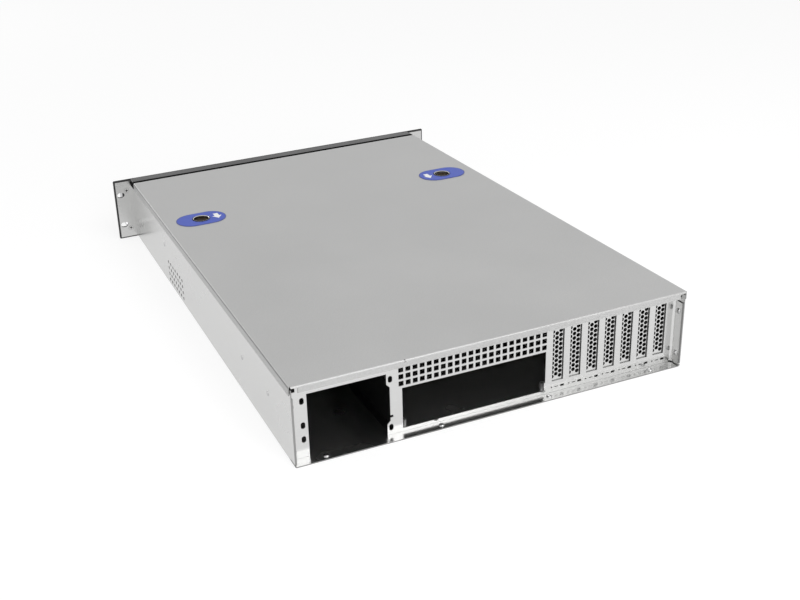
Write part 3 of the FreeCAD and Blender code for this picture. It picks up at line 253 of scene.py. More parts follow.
# Near-black steel for the pieces inside the case: painted shade of the closed interior.
INNER_SHADE_STEEL = Finish("inner_steel", (0.07, 0.07, 0.072), 1.0, 0.5, Grain.CELLS, 6.0, 0.002, 0.08)
EAR_STEEL = Finish("ear_steel", (0.65, 0.65, 0.645), 1.0, 0.22, Grain.ROLLED, 0.6, 0.003, 0.04, 0.05)
HANDLE_METAL = Finish("handle_metal", (0.62, 0.62, 0.63), 1.0, 0.32, Grain.EVEN, 0.4, 0.004, 0.03, 0.05)
SCREW_STEEL = Finish("screw_steel", (0.42, 0.42, 0.42), 1.0, 0.25, Grain.EVEN, 0.4, 0.004, 0.08, 0.08)
# Near-black for the screw shanks seen in the heads' cross recesses: painted shade in the recesses.
RECESS_SHADE = replace(SCREW_STEEL, name="recess_painted_shade", colour=(0.03, 0.03, 0.03), roughness=0.5)
RIVET_STEEL = Finish("rivet_steel", (0.52, 0.52, 0.52), 1.0, 0.22, Grain.EVEN, 0.4, 0.002, 0.04, 0.04)
PAD_BLUE = Finish("pad_blue", (0.045, 0.085, 0.45), 0.0, 0.4, Grain.EVEN, 0.5, 0.01, 0.06, 0.05, gleam=0.25)
# A darker copy of the pad's blue for its edge: painted shade.
PAD_EDGE_SHADE = replace(PAD_BLUE, name="pad_edge_painted_shade", colour=(0.03, 0.045, 0.2), roughness=0.42, gleam=0.5)
ARROW_WHITE = Finish("arrow_white", (0.86, 0.86, 0.86), 0.0, 0.45, Grain.EVEN, 0.5, 0.005, 0.02, 0.05)
RING_CHROME = Finish("ring_chrome", (0.8, 0.8, 0.8), 1.0, 0.1, Grain.EVEN, 0.4, 0.001, 0.02, 0.03)
# Near-black for the latch collar: painted shade of the gap round the bright liner.
RING_SHADE = Finish("ring_painted_shade", (0.02, 0.02, 0.024), 0.0, 0.6, Grain.EVEN, 0.4, 0.002, 0.08, 0.05, gleam=0.1)
BUTTON_BRONZE = Finish(
    "button_bronze", (0.026, 0.017, 0.008), 0.15, 0.45, Grain.EVEN, 0.4, 0.01, 0.2, 0.08, gleam=0.06
)
SPRING_STEEL = Finish("spring_steel", (0.5, 0.5, 0.51), 1.0, 0.28, Grain.ROLLED, 0.4, 0.002, 0.04, 0.05)
STANDOFF_STEEL = Finish("standoff_steel", (0.8, 0.8, 0.8), 1.0, 0.38, Grain.EVEN, 0.4, 0.002, 0.05)
CONTROL_BLACK = Finish("control_black", (0.04, 0.04, 0.042), 0.0, 0.5, Grain.EVEN, 0.5, 0.02, 0.1, 0.05)
BUTTON_BLACK = Finish("button_black", (0.05, 0.05, 0.055), 0.0, 0.3, Grain.EVEN, 0.4, 0.005, 0.05, 0.04, 0.3)
LIGHT_CLEAR = Finish("light_clear", (0.72, 0.75, 0.75), 0.0, 0.22, Grain.EVEN, 0.4, 0.005, 0.03, 0.04, 0.3)


def mirrored(half: Loop) -> Loop:
    """Completes an outline, given by its points at positive u, with their mirror images."""
    return half + [(-u, v) for u, v in reversed(half)]


def rectangle(left: float, right: float, low: float, high: float) -> Loop:
    """Returns the corners of a rectangle between two places along u and two along v, anticlockwise."""
    return [(left, low), (right, low), (right, high), (left, high)]


def circle(u: float, v: float, radius: float, steps: int) -> Loop:
    """Returns points in even steps round a circle, anticlockwise."""
    turns = [2 * math.pi * (k + 0.5) / steps for k in range(steps)]
    return [(u + radius * math.cos(turn), v + radius * math.sin(turn)) for turn in turns]


def corner_arc(three: tuple[Vector, Vector, Vector], radius: float, steps: int) -> list[Vector]:
    """Rounds one corner of a line by an arc in the line's plane.

    Args:
        three: The corner, between its neighbours.
        radius: The arc's radius.
        steps: Number of straight steps in the arc.

    Returns:
        The arc's points.
    """
    before, here, after = three
    back = (before - here).normalized()
    onward = (after - here).normalized()
    half = back.angle(onward) / 2
    centre = here + (back + onward).normalized() * (radius / math.sin(half))
    start = here + back * (radius / math.tan(half)) - centre
    end = here + onward * (radius / math.tan(half)) - centre
    spread = math.pi - 2 * half
    shares = [k / steps for k in range(steps + 1)]
    arms = [start * math.sin((1 - share) * spread) + end * math.sin(share * spread) for share in shares]
    return [centre + arm / math.sin(spread) for arm in arms]


def rounded(corners: Loop, radius: float, steps: int) -> Loop:
    """Rounds every corner of an outline by one radius.

    Args:
        corners: The outline's corners in order.
        radius: Radius of each corner.
        steps: Number of straight steps in each corner.

    Returns:
        The rounded outline.
    """
    points = [Vector(corner) for corner in corners]
    threes = zip(points[-1:] + points[:-1], points, points[1:] + points[:1])
    return [(point.x, point.y) for three in threes for point in corner_arc(three, radius, steps)]


def slot_loop(u: float, v: float, width: float, height: float, steps: int = 6) -> Loop:
    """Returns a slot with round ends, its middle at u and v, with a number of steps in each quarter turn."""
    corners = rectangle(u - width / 2, u + width / 2, v - height / 2, v + height / 2)
    return rounded(corners, min(width, height) / 2 - 0.005, steps)


class Kind(Enum):
    """The two kinds of face, by the number of their material slot: skin, and cut edges with the faces that
    get painted shade.
    """

    SKIN = 0
    # Cut edges, and faces that get painted shade from the piece's second finish.
    CUT = 1


@dataclass
class Form:
    """A mesh in the making.

    Attributes:
        points: Its points.
        faces: The indices of each face's points, anticlockwise from outside.
        normals: The shading direction at every corner of the faces.
        kinds: The kind of each face.
    """

    points: list[Vector] = field(default_factory=list)
    faces: list[list[int]] = field(default_factory=list)
    normals: list[Vector] = field(default_factory=list)
    kinds: list[Kind] = field(default_factory=list)

    def add(self, corners: list[int], normals: list[Vector], kind: Kind = Kind.SKIN) -> None:
        """Adds one face.

        Args:
            corners: Indices of its points, anticlockwise from outside.
            normals: Shading direction at each corner.
            kind: The kind of face.
        """
        self.faces.append(corners)
        self.normals.extend(normals)
        self.kinds.append(kind)

    def paint_side_shade(self, low: float, high: float = 2.0) -> None:
        """Gives the faces that look sideways the cut edges' finish, which paints shade on them.

        Args:
            low: Share of a face's direction along X from which it counts.
            high: Share up to which it counts.
        """
        at = 0
        for i, face in enumerate(self.faces):
            middle = sum((abs(normal.x) for normal in self.normals[at:at + len(face)]), 0.0) / len(face)
            if low < middle < high:
                self.kinds[i] = Kind.CUT
            at += len(face)

    def mesh(self, name: str) -> bpy.types.Mesh:
        """Makes Blender's mesh of the form.

        Args:
            name: The mesh's name.

        Returns:
            The mesh, in metres.
        """
        mesh = bpy.data.meshes.new(name)
        mesh.from_pydata([point * MM for point in self.points], [], self.faces)
        mesh.polygons.foreach_set("use_smooth", [True] * len(mesh.polygons))
        mesh.polygons.foreach_set("material_index", [kind.value for kind in self.kinds])
        mesh.normals_split_custom_set([tuple(normal) for normal in self.normals])
        mesh.update()
        return mesh


def joined(forms: Iterable[Form]) -> Form:
    """Joins several forms in one.

    Args:
        forms: The forms in order.

    Returns:
        A new form with all their faces.
    """
    whole = Form()
    for form in forms:
        shift = len(whole.points)
        whole.points += form.points
        whole.faces += [[i + shift for i in face] for face in form.faces]
        whole.normals += form.normals
        whole.kinds += form.kinds
    return whole


@dataclass(frozen=True)
class Bend:
    """One bend of a sheet.

    Attributes:
        start: Where the bend starts on the flat pattern, from the pattern's middle.
        turn: Angle in degrees; a positive turn goes away from the outward face.
        radius: Radius on the pattern's own face.
    """

    start: float
    turn: float
    radius: float

    @property
    def length(self) -> float:
        """Length of the bend on the pattern's face."""
        return abs(math.radians(self.turn)) * self.radius

    @property
    def end(self) -> float:
        """Where the bend ends on the flat pattern."""
        return self.start + self.length


@dataclass(frozen=True)
class FoldLine:
    """The bends met when a pattern is followed from its middle to one end and to the other.

    Attributes:
        onward: Bends towards the positive end, in order.
        back: Bends towards the negative end, in order, with positive starts.
    """

    onward: tuple[Bend, ...] = ()
    back: tuple[Bend, ...] = ()

    def cuts(self, steps: int) -> list[float]:
        """Returns the places where the pattern is divided so that it can bend.

        Args:
            steps: Number of straight steps in each bend.

        Returns:
            The places along the pattern.
        """
        places = []
        for sign, bends in ((1, self.onward), (-1, self.back)):
            for bend in bends:
                places += [sign * (bend.start + bend.length * k / steps) for k in range(steps + 1)]
        return places

    def place(self, distance: float) -> Place:
        """Follows the fold to one point.

        Args:
            distance: Place along the flat pattern.

        Returns:
            The point's place along the flat, its height above it, and the sheet's turn there in radians.
        """
        sign = 1 if distance >= 0 else -1
        bends = self.onward if sign > 0 else self.back
        left = abs(distance)
        along = height = turn = passed = 0.0
        for bend in bends:
            if left <= bend.start:
                break
            step = bend.start - passed
            along += step * math.cos(turn)
            height -= step * math.sin(turn)
            part = min(1.0, (left - bend.start) / bend.length) * math.radians(bend.turn)
            way = 1 if bend.turn > 0 else -1
            along += way * bend.radius * (math.sin(turn + part) - math.sin(turn))
            height -= way * bend.radius * (math.cos(turn) - math.cos(turn + part))
            turn += part
            passed = min(left, bend.end)
        step = left - passed
        along += step * math.cos(turn)
        height -= step * math.sin(turn)
        return sign * along, height, sign * turn


STRAIGHT = FoldLine()


@dataclass
class Sheet:
    """A sheet part, drawn as its flat pattern and folded.

    Attributes:
        outline: The pattern's outline.
        thickness: The sheet's thickness, away from the outward face.
        facing: The plane in which the pattern's flat lies.
        level: Place of the outward face along its own direction.
        holes: The pattern's holes.
        across: Bends met along u.
        along: Bends met along v.
        steps: Number of straight steps in each bend.
    """

    outline: Loop
    thickness: float
    facing: Facing
    level: float
    holes: list[Loop] = field(default_factory=list)
    across: FoldLine = STRAIGHT
    along: FoldLine = STRAIGHT
    steps: int = 6

    def _flat(self) -> bmesh.types.BMesh:
        """Fills the pattern with triangles and divides it along its bends.

        Returns:
            The flat pattern.
        """
        flat = bmesh.new()
        loops = [[Vector((u, v, 0)) for u, v in loop] for loop in [self.outline, *self.holes]]
        corners = [flat.verts.new(point) for loop in loops for point in loop]
        for face in tessellate_polygon(loops):
            flat.faces.new([corners[i] for i in face])
        bmesh.ops.recalc_face_normals(flat, faces=flat.faces)
        for direction, fold in ((Vector((1, 0, 0)), self.across), (Vector((0, 1, 0)), self.along)):
            for cut in fold.cuts(self.steps):
                everything = [*flat.verts, *flat.edges, *flat.faces]
                bmesh.ops.bisect_plane(
                    flat, geom=everything, dist=1e-5, plane_co=direction * cut, plane_no=direction
                )
        for face in flat.faces:
            if face.normal.z < 0:
                face.normal_flip()
        flat.verts.index_update()
        return flat

    def _folded(self, point: Vector) -> tuple[Vector, Vector]:
        """Folds one point of the pattern.

        Args:
            point: The point on the flat pattern.

        Returns:
            The point and the outward direction there, in the part's frame.
        """
        u, rise_u, turn_u = self.across.place(point.x)
        v, rise_v, turn_v = self.along.place(point.y)
        axes = [Vector(axis) for axis in self.facing.value]
        sign = sum(self.facing.value[2])
        place = axes[0] * u + axes[1] * v + axes[2] * (self.level * sign + rise_u + rise_v)
        if abs(turn_u) > abs(turn_v):
            outward = axes[0] * math.sin(turn_u) + axes[2] * math.cos(turn_u)
        else:
            outward = axes[1] * math.sin(turn_v) + axes[2] * math.cos(turn_v)
        return place, outward

    def solid(self) -> Form:
        """Folds the pattern and gives it its thickness.

        Returns:
            The closed form.
        """
        flat = self._flat()
        placed = [self._folded(vertex.co) for vertex in flat.verts]
        outer = [place for place, _ in placed]
        inner = [place - outward * self.thickness for place, outward in placed]
        normals = [outward for _, outward in placed]
        axes = [Vector(axis) for axis in self.facing.value]
        flipped = axes[0].cross(axes[1]).dot(axes[2]) < 0
        count = len(outer)
        form = Form(outer + inner)
        for face in flat.faces:
            corners = [vertex.index for vertex in face.verts]
            if flipped:
                corners.reverse()
            form.add(corners, [normals[i] for i in corners])
            under = [i + count for i in reversed(corners)]
            form.add(under, [-normals[i - count] for i in under])
        for edge in flat.edges:
            if len(edge.link_loops) != 1:
                continue
            loop = edge.link_loops[0]
            first, second = loop.vert.index, loop.link_loop_next.vert.index
            if flipped:
                first, second = second, first
            rim = [second, first, first + count, second + count]
            points = [form.points[i] for i in rim]
            normal = (points[1] - points[0]).cross(points[3] - points[0]).normalized()
            form.add(rim, [normal] * 4, Kind.CUT)
        flat.free()
        return form


def band_slopes(profile: tuple[Point, ...], sharp: float) -> list[tuple[Vector, Vector]]:
    """Works out the shading directions of a turned form's bands.

    Args:
        profile: Radii and heights from one end to the other.
        sharp: Angle in degrees past which an edge stays sharp.

    Returns:
        For each band, the direction as (outward, up) at both of its rings.
    """
    flat = [Vector((h1 - h0, r0 - r1)).normalized() for (r0, h0), (r1, h1) in zip(profile, profile[1:])]
    slopes = []
    for i, slope in enumerate(flat):
        ends = []
        for other in (i - 1, i + 1):
            soft = 0 <= other < len(flat) and slope.angle(flat[other]) < math.radians(sharp)
            ends.append((slope + flat[other]).normalized() if soft else slope)
        slopes.append((ends[0], ends[1]))
    return slopes


def turned(
    profile: tuple[Point, ...],
    place: Place,
    direction: Place = (0, 0, 1),
    steps: int = 32,
    sharp: float = 32.0,
) -> Form:
    """Turns a profile round an axis.

    Args:
        profile: Radii and heights from one end to the other.
        place: The axis's foot.
        direction: The axis's direction.
        steps: Number of straight steps round the form.
        sharp: Angle in degrees past which an edge stays sharp.

    Returns:
        The form, closed where the profile ends on the axis.
    """
    turn = Vector((0, 0, 1)).rotation_difference(Vector(direction)).to_matrix()
    angles = [2 * math.pi * k / steps for k in range(steps)]
    ways = [(math.cos(angle), math.sin(angle)) for angle in angles]
    form = Form()
    rings = []
    for radius, height in profile:
        first = len(form.points)
        count = 1 if radius < 1e-6 else steps
        spots = [Vector((radius * out, radius * side, height)) for out, side in ways[:count]]
        form.points += [Vector(place) + turn @ spot for spot in spots]
        rings.append([first + k % count for k in range(steps)])
    for low, high, slope in zip(rings, rings[1:], band_slopes(profile, sharp)):
        for k in range(steps):
            after = (k + 1) % steps
            corners: dict[int, Vector] = {}
            for ring, step, (out, up) in (
                (low, k, slope[0]), (low, after, slope[0]), (high, after, slope[1]), (high, k, slope[1]),
            ):
                across, along = ways[step]
                corners.setdefault(ring[step], turn @ Vector((out * across, out * along, up)))
            if len(corners) > 2:
                form.add(list(corners), list(corners.values()))
    return form


def bent_rod(path: tuple[Place, ...], radius: float, bend: float) -> Form:
    """Sweeps a round rod along straight runs with round bends.

    Args:
        path: Corner points of the rod's middle line, all in one plane across X.
        radius: The rod's radius.
        bend: Radius of the middle line at each inner corner.

    Returns:
        The rod with flat ends.
    """
    steps, bend_steps = 28, 12
    points = [Vector(point) for point in path]
    line = [points[0]]
    for three in zip(points, points[1:], points[2:]):
        line += corner_arc(three, bend, bend_steps)
    line.append(points[-1])
    form = Form()
    side = Vector((1, 0, 0))
    angles = [2 * math.pi * k / steps for k in range(steps)]
    rings = []
    for i, point in enumerate(line):
        ahead = (line[min(i + 1, len(line) - 1)] - line[max(i - 1, 0)]).normalized()
        ways = [side * math.cos(angle) + side.cross(ahead) * math.sin(angle) for angle in angles]
        first = len(form.points)
        form.points += [point + way * radius for way in ways]
        rings.append((range(first, first + steps), ways, ahead))
    for low, high in zip(rings, rings[1:]):
        for k in range(steps):
            after = (k + 1) % steps
            corners = ((low, after), (low, k), (high, k), (high, after))
            form.add([ring[0][step] for ring, step in corners], [ring[1][step] for ring, step in corners])
    first_ring, _, ahead = rings[0]
    form.add(list(first_ring), [-ahead] * steps)
    last_ring, _, ahead = rings[-1]
    form.add(list(reversed(last_ring)), [ahead] * steps)
    return form


def place_piece(
    name: str,
    form: Form,
    finish: Finish,
    body: str,
    nodes: tuple[str, ...] = (),
    edge: Finish | None = None,
) -> None:
    """Makes a piece of the object from a form, with its finish and its body.

    Args:
        name: The piece's name.
        form: The piece's form.
        finish: Its finish.
        body: The body that it rides on.
        nodes: The part's nodes that it stands for.
        edge: The finish of its cut edges and of the faces that get painted shade, where they look different.
    """
    piece = bpy.data.objects.new(name, form.mesh(name))
    bpy.context.scene.collection.objects.link(piece)
    piece.data.materials.append(finish.material())
    piece.data.materials.append((edge or finish).material())
    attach(piece, body)
    if nodes:
        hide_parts(*nodes)
    LOG.info("%s: %d faces on %s", name, len(piece.data.polygons), body)


@dataclass(frozen=True)
class Layout:
    """Sizes that several pieces share."""

    half_width: float = 215.5
    wall_top: float = 85.7
    steel: float = 1.2
    rear: float = 341.25
    front: float = -308.75
    panel_back: float = 329.25
    cover_top: float = 87.0
    rack_x: float = 232.55
    rack_heights: tuple[float, float] = (20.975, 65.425)
    handle_x: float = 224.0
    handle_heights: tuple[float, float] = (15.2, 71.2)
    control_x: float = 196.0
    latch_x: float = 170.0
    latch_y: float = -104.75
    slot_first: float = -80.6
    slot_pitch: float = 20.32
    slot_count: int = 7

    def slot_edges(self) -> list[float]:
        """Returns X of every card slot's lower edge."""
        return [self.slot_first - k * self.slot_pitch for k in range(self.slot_count)]


@dataclass
class Tray:
    """The floor with its side walls and lips, folded from one sheet."""

    layout: Layout
    front: float = -305.35
    fold: float = 2.2
    lip_edge: float = 205.5
    lip_rear: float = 328.05
    rear_top: float = 82.9
    slit_low: float = 2.3
    slit_high: float = 3.5
    vent_radius: float = 2.25
    vent_rear: float = -50.45
    vent_pitch: float = 10.9
    vent_low: float = 8.6
    vent_rise: float = 8.1

    def _wall(self, height: float) -> float:
        """Returns the pattern's place of a height on the side wall."""
        flat = self.layout.half_width - self.fold
        return flat + math.pi / 2 * self.fold + height - self.fold

    def build(self) -> None:
        """Folds the tray with its side vents and the slits at its rear corners."""
        s = self.layout
        foot = Bend(s.half_width - self.fold, 90, self.fold)
        head = Bend(self._wall(s.wall_top - self.fold), 90, self.fold)
        edge = head.end + foot.start - self.lip_edge
        top, slit_end, slit = (self._wall(z) for z in (self.rear_top, self.slit_high, self.slit_low))
        outline = mirrored([
            (edge, self.front), (edge, self.lip_rear), (top, self.lip_rear), (top, s.rear),
            (slit_end, s.rear), (slit_end, s.panel_back), (slit, s.panel_back), (slit, s.rear),
        ])
        rows = [self._wall(self.vent_low + row * self.vent_rise) for row in range(4)]
        columns = [self.vent_rear - column * self.vent_pitch for column in range(7)]
        holes = [circle(sign * u, y, self.vent_radius, 12) for sign in (1, -1) for u in rows for y in columns]
        form = Sheet(outline, s.steel, Facing.DOWN, 0.0, holes, FoldLine((foot, head), (foot, head))).solid()
        place_piece("tray_sheet", form, TRAY_STEEL, "chassis", ("chassis_tray",), EDGE_STEEL)


@dataclass
class RearPanel:
    """The recessed rear panel with its openings."""

    layout: Layout
    low: float = 1.3
    flange_low: float = 2.3
    side_top: float = 73.0
    head: float = 207.0
    top: float = 81.2
    side_fold: float = 3.0
    flange_face: float = 213.0
    flange_end: float = 340.25
    shelf_fold: float = 1.5
    shelf_front: float = 313.05
    slot_width: float = 13.1
    slot_low: float = 13.4
    slot_high: float = 71.1
    mark_z: float = 6.7
    notch_depth: float = 2.15
    vent_left: float = 99.9
    vent_low: float = 54.5
    vent_pitch: float = 7.5
    vent_rise: float = 7.4
    vent_half: float = 2.6

    def build(self) -> None:
        """Folds the panel with all its openings."""
        s = self.layout
        side = Bend(self.flange_face - self.side_fold, -90, self.side_fold)
        shelf = Bend(self.top - self.shelf_fold, 90, self.shelf_fold)
        edge = side.end + self.flange_end - s.panel_back - self.side_fold
        shelf_end = shelf.end + s.panel_back - self.shelf_fold - self.shelf_front
        rest = mirrored([
            (side.start, self.low), (side.start, self.flange_low), (edge, self.flange_low),
            (edge, self.side_top), (self.head, self.side_top), (self.head, shelf_end),
        ])
        outline = rest[-1:] + self._supply_edge() + rest[:-1]
        holes = self._grid() + self._supply_slots() + self._card_slots(shelf) + [self._board_edge()]
        flanges, back = FoldLine((side,), (side,)), FoldLine((shelf,))
        form = Sheet(outline, s.steel, Facing.REARWARD, s.panel_back, holes, flanges, back).solid()
        node = ("rear_panel",)
        place_piece("rear_panel_sheet", form, PANEL_STEEL, "chassis", node, EDGE_STEEL)

    def _supply_edge(self) -> Loop:
        """Returns the power supply opening's stepped edge, from its right foot to its left one."""
        return [
            (115.3, self.low), (115.3, 13.2), (111.9, 16.6), (111.9, 20.1), (108.9, 20.1), (108.9, 22.7),
            (111.9, 22.7), (111.9, 53.6), (115.3, 57.0), (115.3, 68.4), (196.0, 68.4), (196.0, self.low),
        ]

    def _board_edge(self) -> Loop:
        """Returns the board opening's edge, with the step at its lower left."""
        step = [(-59.75, 49.35), (-59.75, 13.9), (-58.35, 13.9)]
        return [(-58.35, 4.9), (99.0, 4.9), (99.0, 49.35), *step]

    def _grid(self) -> list[Loop]:
        """Returns the square vent holes over the board opening."""
        holes = []
        for column in range(22):
            for row in range(3):
                x = self.vent_left - self.vent_pitch * column
                z = self.vent_low + self.vent_rise * row
                half = self.vent_half
                holes.append(rounded(rectangle(x - half, x + half, z - half, z + half), 0.45, 2))
        return holes

    def _supply_slots(self) -> list[Loop]:
        """Returns the upright slots beside the power supply opening."""
        places = [(201.0, 61.8), (201.0, 35.8), (201.0, 20.7), (111.3, 62.0), (111.3, 9.3)]
        return [slot_loop(x, z, 4.5, 7.0) for x, z in places]

    def _card_slots(self, shelf: Bend) -> list[Loop]:
        """Returns the card slots, the marks under them and the notches over them.

        Args:
            shelf: The bend between the panel and its shelf.

        Returns:
            The holes.
        """
        holes = []
        mark = self.mark_z
        near = shelf.start + shelf.length * 0.85
        for edge in self.layout.slot_edges():
            slot = rectangle(edge, edge + self.slot_width, self.slot_low, self.slot_high)
            large_mark = rounded(rectangle(edge - 1.4, edge + 3.0, mark - 1.2, mark + 1.2), 0.6, 3)
            flat_mark = slot_loop(edge + 7.6, mark, 4.4, 0.9, 3)
            round_mark = circle(edge + 13.3, mark, 0.85, 12)
            notch = rectangle(edge + 0.9, edge + 17.3, near, near + self.notch_depth)
            holes += [slot, large_mark, flat_mark, round_mark, notch]
        return holes


@dataclass
class SlotCovers:
    """The seven perforated covers of the card slots, with their screws."""

    layout: Layout
    slot_middle: float = 8.8
    screw_middle: float = 9.1
    hole_middle: float = 7.7
    half_width: float = 8.2
    face: float = 327.75
    thickness: float = 0.9
    low: float = 8.6
    top: float = 82.2
    fold: float = 1.5
    tab_end: float = 316.3
    screw_y: float = 321.35
    hole_radius: float = 2.2
    column: float = 4.5
    first_row: float = 18.0
    row: float = 5.1
    rows: int = 11

    def build(self) -> None:
        """Builds the covers and the screws that hold them."""
        edges = self.layout.slot_edges()
        for k, edge in enumerate(edges):
            name = f"slot_cover_{k + 1}"
            cover = self._cover(edge)
            place_piece(f"{name}_sheet", cover, PANEL_STEEL, "chassis", (name,), EDGE_STEEL)
        shank = ((0, -4.5), (1.2, -4.5), (1.45, -4.0), (1.45, 0))
        screw = (*shank, (3.0, 0), (3.0, 0.7), (2.6, 1.25), (1.7, 1.6), (0, 1.6))
        places = [(edge + self.screw_middle, self.screw_y, self.top) for edge in edges]
        screws = joined(turned(screw, place, steps=20) for place in places)
        node = ("slot_cover_screws",)
        place_piece("slot_cover_pan_screws", screws, SCREW_STEEL, "chassis", node)

    def _cover(self, edge: float) -> Form:
        """Builds one cover.

        Args:
            edge: X of its slot's lower edge.

        Returns:
            The folded cover.
        """
        middle = edge + self.slot_middle
        bend = Bend(self.top - self.fold, 90, self.fold)
        end = bend.end + self.face - self.fold - self.tab_end
        outline = rectangle(middle - self.half_width, middle + self.half_width, self.low, end)
        holes = []
        for column in (-1, 0, 1):
            short = column == 0
            for row in range(self.rows - short):
                z = self.first_row + (row + 0.5 * short) * self.row
                x = edge + self.hole_middle + column * self.column
                holes.append(circle(x, z, self.hole_radius, 14))
        fold = FoldLine((bend,))
        return Sheet(outline, self.thickness, Facing.REARWARD, self.face, holes, along=fold, steps=4).solid()

@dataclass
class FrontPanel:
    """The black front panel with its air slots and its hood over the tray."""

    layout: Layout
    half_width: float = 241.3
    thickness: float = 1.6
    foot: float = 0.4
    corner: float = 1.6
    hood_half: float = 217.0
    hood_front: float = -307.95
    hood_end: float = -289.05
    hood_fold: float = 2.2
    hood_low: float = 77.5
    # Depth of the painted shadow strip at the hood's rear.
    painted_shadow_width: float = 3.2
    step_half: float = 204.0
    step_front: float = -289.45
    step_end: float = -279.05
    step_top: float = 85.7
    air_xs: tuple[int, ...] = tuple(range(-180, 161, 20))
    air_half: float = 5.0
    air_low: float = 12.0
    air_high: float = 75.0

    def build(self) -> None:
        """Builds the face with its hood as one piece, and the step behind the hood; the hood's sides, a strip
        at its rear and the step are near-black as painted shade.
        """
        s = self.layout
        corners = rectangle(-self.half_width, self.half_width, self.foot, s.cover_top)
        outline = rounded(corners, self.corner, 4)
        face = Sheet(outline, self.thickness, Facing.FORWARD, s.front, self._holes()).solid()
        split = self.hood_end - self.painted_shadow_width
        hood = self._hood(self.hood_front, split)
        # The hood's side faces get the near-black finish as painted shade.
        hood.paint_side_shade(0.7)
        # A strip at the hood's rear is near-black: a painted shadow of the gap before the cover.
        shadow_strip = self._hood(split, self.hood_end)
        shadow_strip.kinds = [Kind.CUT] * len(shadow_strip.faces)
        form = joined((face, hood, shadow_strip))
        riser = rectangle(-self.step_half, self.step_half, self.step_top - s.steel, s.cover_top - 0.1)
        tread = rectangle(-self.step_half, self.step_half, self.step_front, self.step_end)
        step = joined((
            Sheet(riser, s.steel, Facing.REARWARD, self.step_front).solid(),
            Sheet(tread, s.steel, Facing.UP, self.step_top).solid(),
        ))
        # The step is a near-black sheet that paints the shade in the gap behind the hood.
        place_piece("front_panel_step", step, EDGE_AND_SHADE_BLACK, "chassis")
        node = ("front_panel",)
        place_piece("front_panel_sheet", form, FRONT_BLACK, "chassis", node, EDGE_AND_SHADE_BLACK)

    def _hood(self, front: float, rear: float) -> Form:
        """Folds a stretch of the hood.

        Args:
            front: Where it starts.
            rear: Where it ends.

        Returns:
            The stretch.
        """
        s = self.layout
        bend = Bend(self.hood_half - self.hood_fold, 90, self.hood_fold)
        edge = bend.end + s.cover_top - self.hood_fold - self.hood_low
        fold = FoldLine((bend,), (bend,))
        return Sheet(rectangle(-edge, edge, front, rear), s.steel, Facing.UP, s.cover_top, [], fold).solid()

    def _holes(self) -> list[Loop]:
        """Returns the rack slots, the air slots and the bores for the controls."""
        s = self.layout
        holes = [slot_loop(x, z, 10.0, 6.8) for x in (-s.rack_x, s.rack_x) for z in s.rack_heights]
        for x in self.air_xs:
            corners = rectangle(x - self.air_half, x + self.air_half, self.air_low, self.air_high)
            holes.append(rounded(corners, 0.8, 2))
        for z, bore in ((62.0, 6.0), (46.0, 3.0), (33.0, 1.5), (26.0, 1.5), (19.0, 1.5)):
            holes.append(circle(s.control_x, z, bore, 28))
        return holes


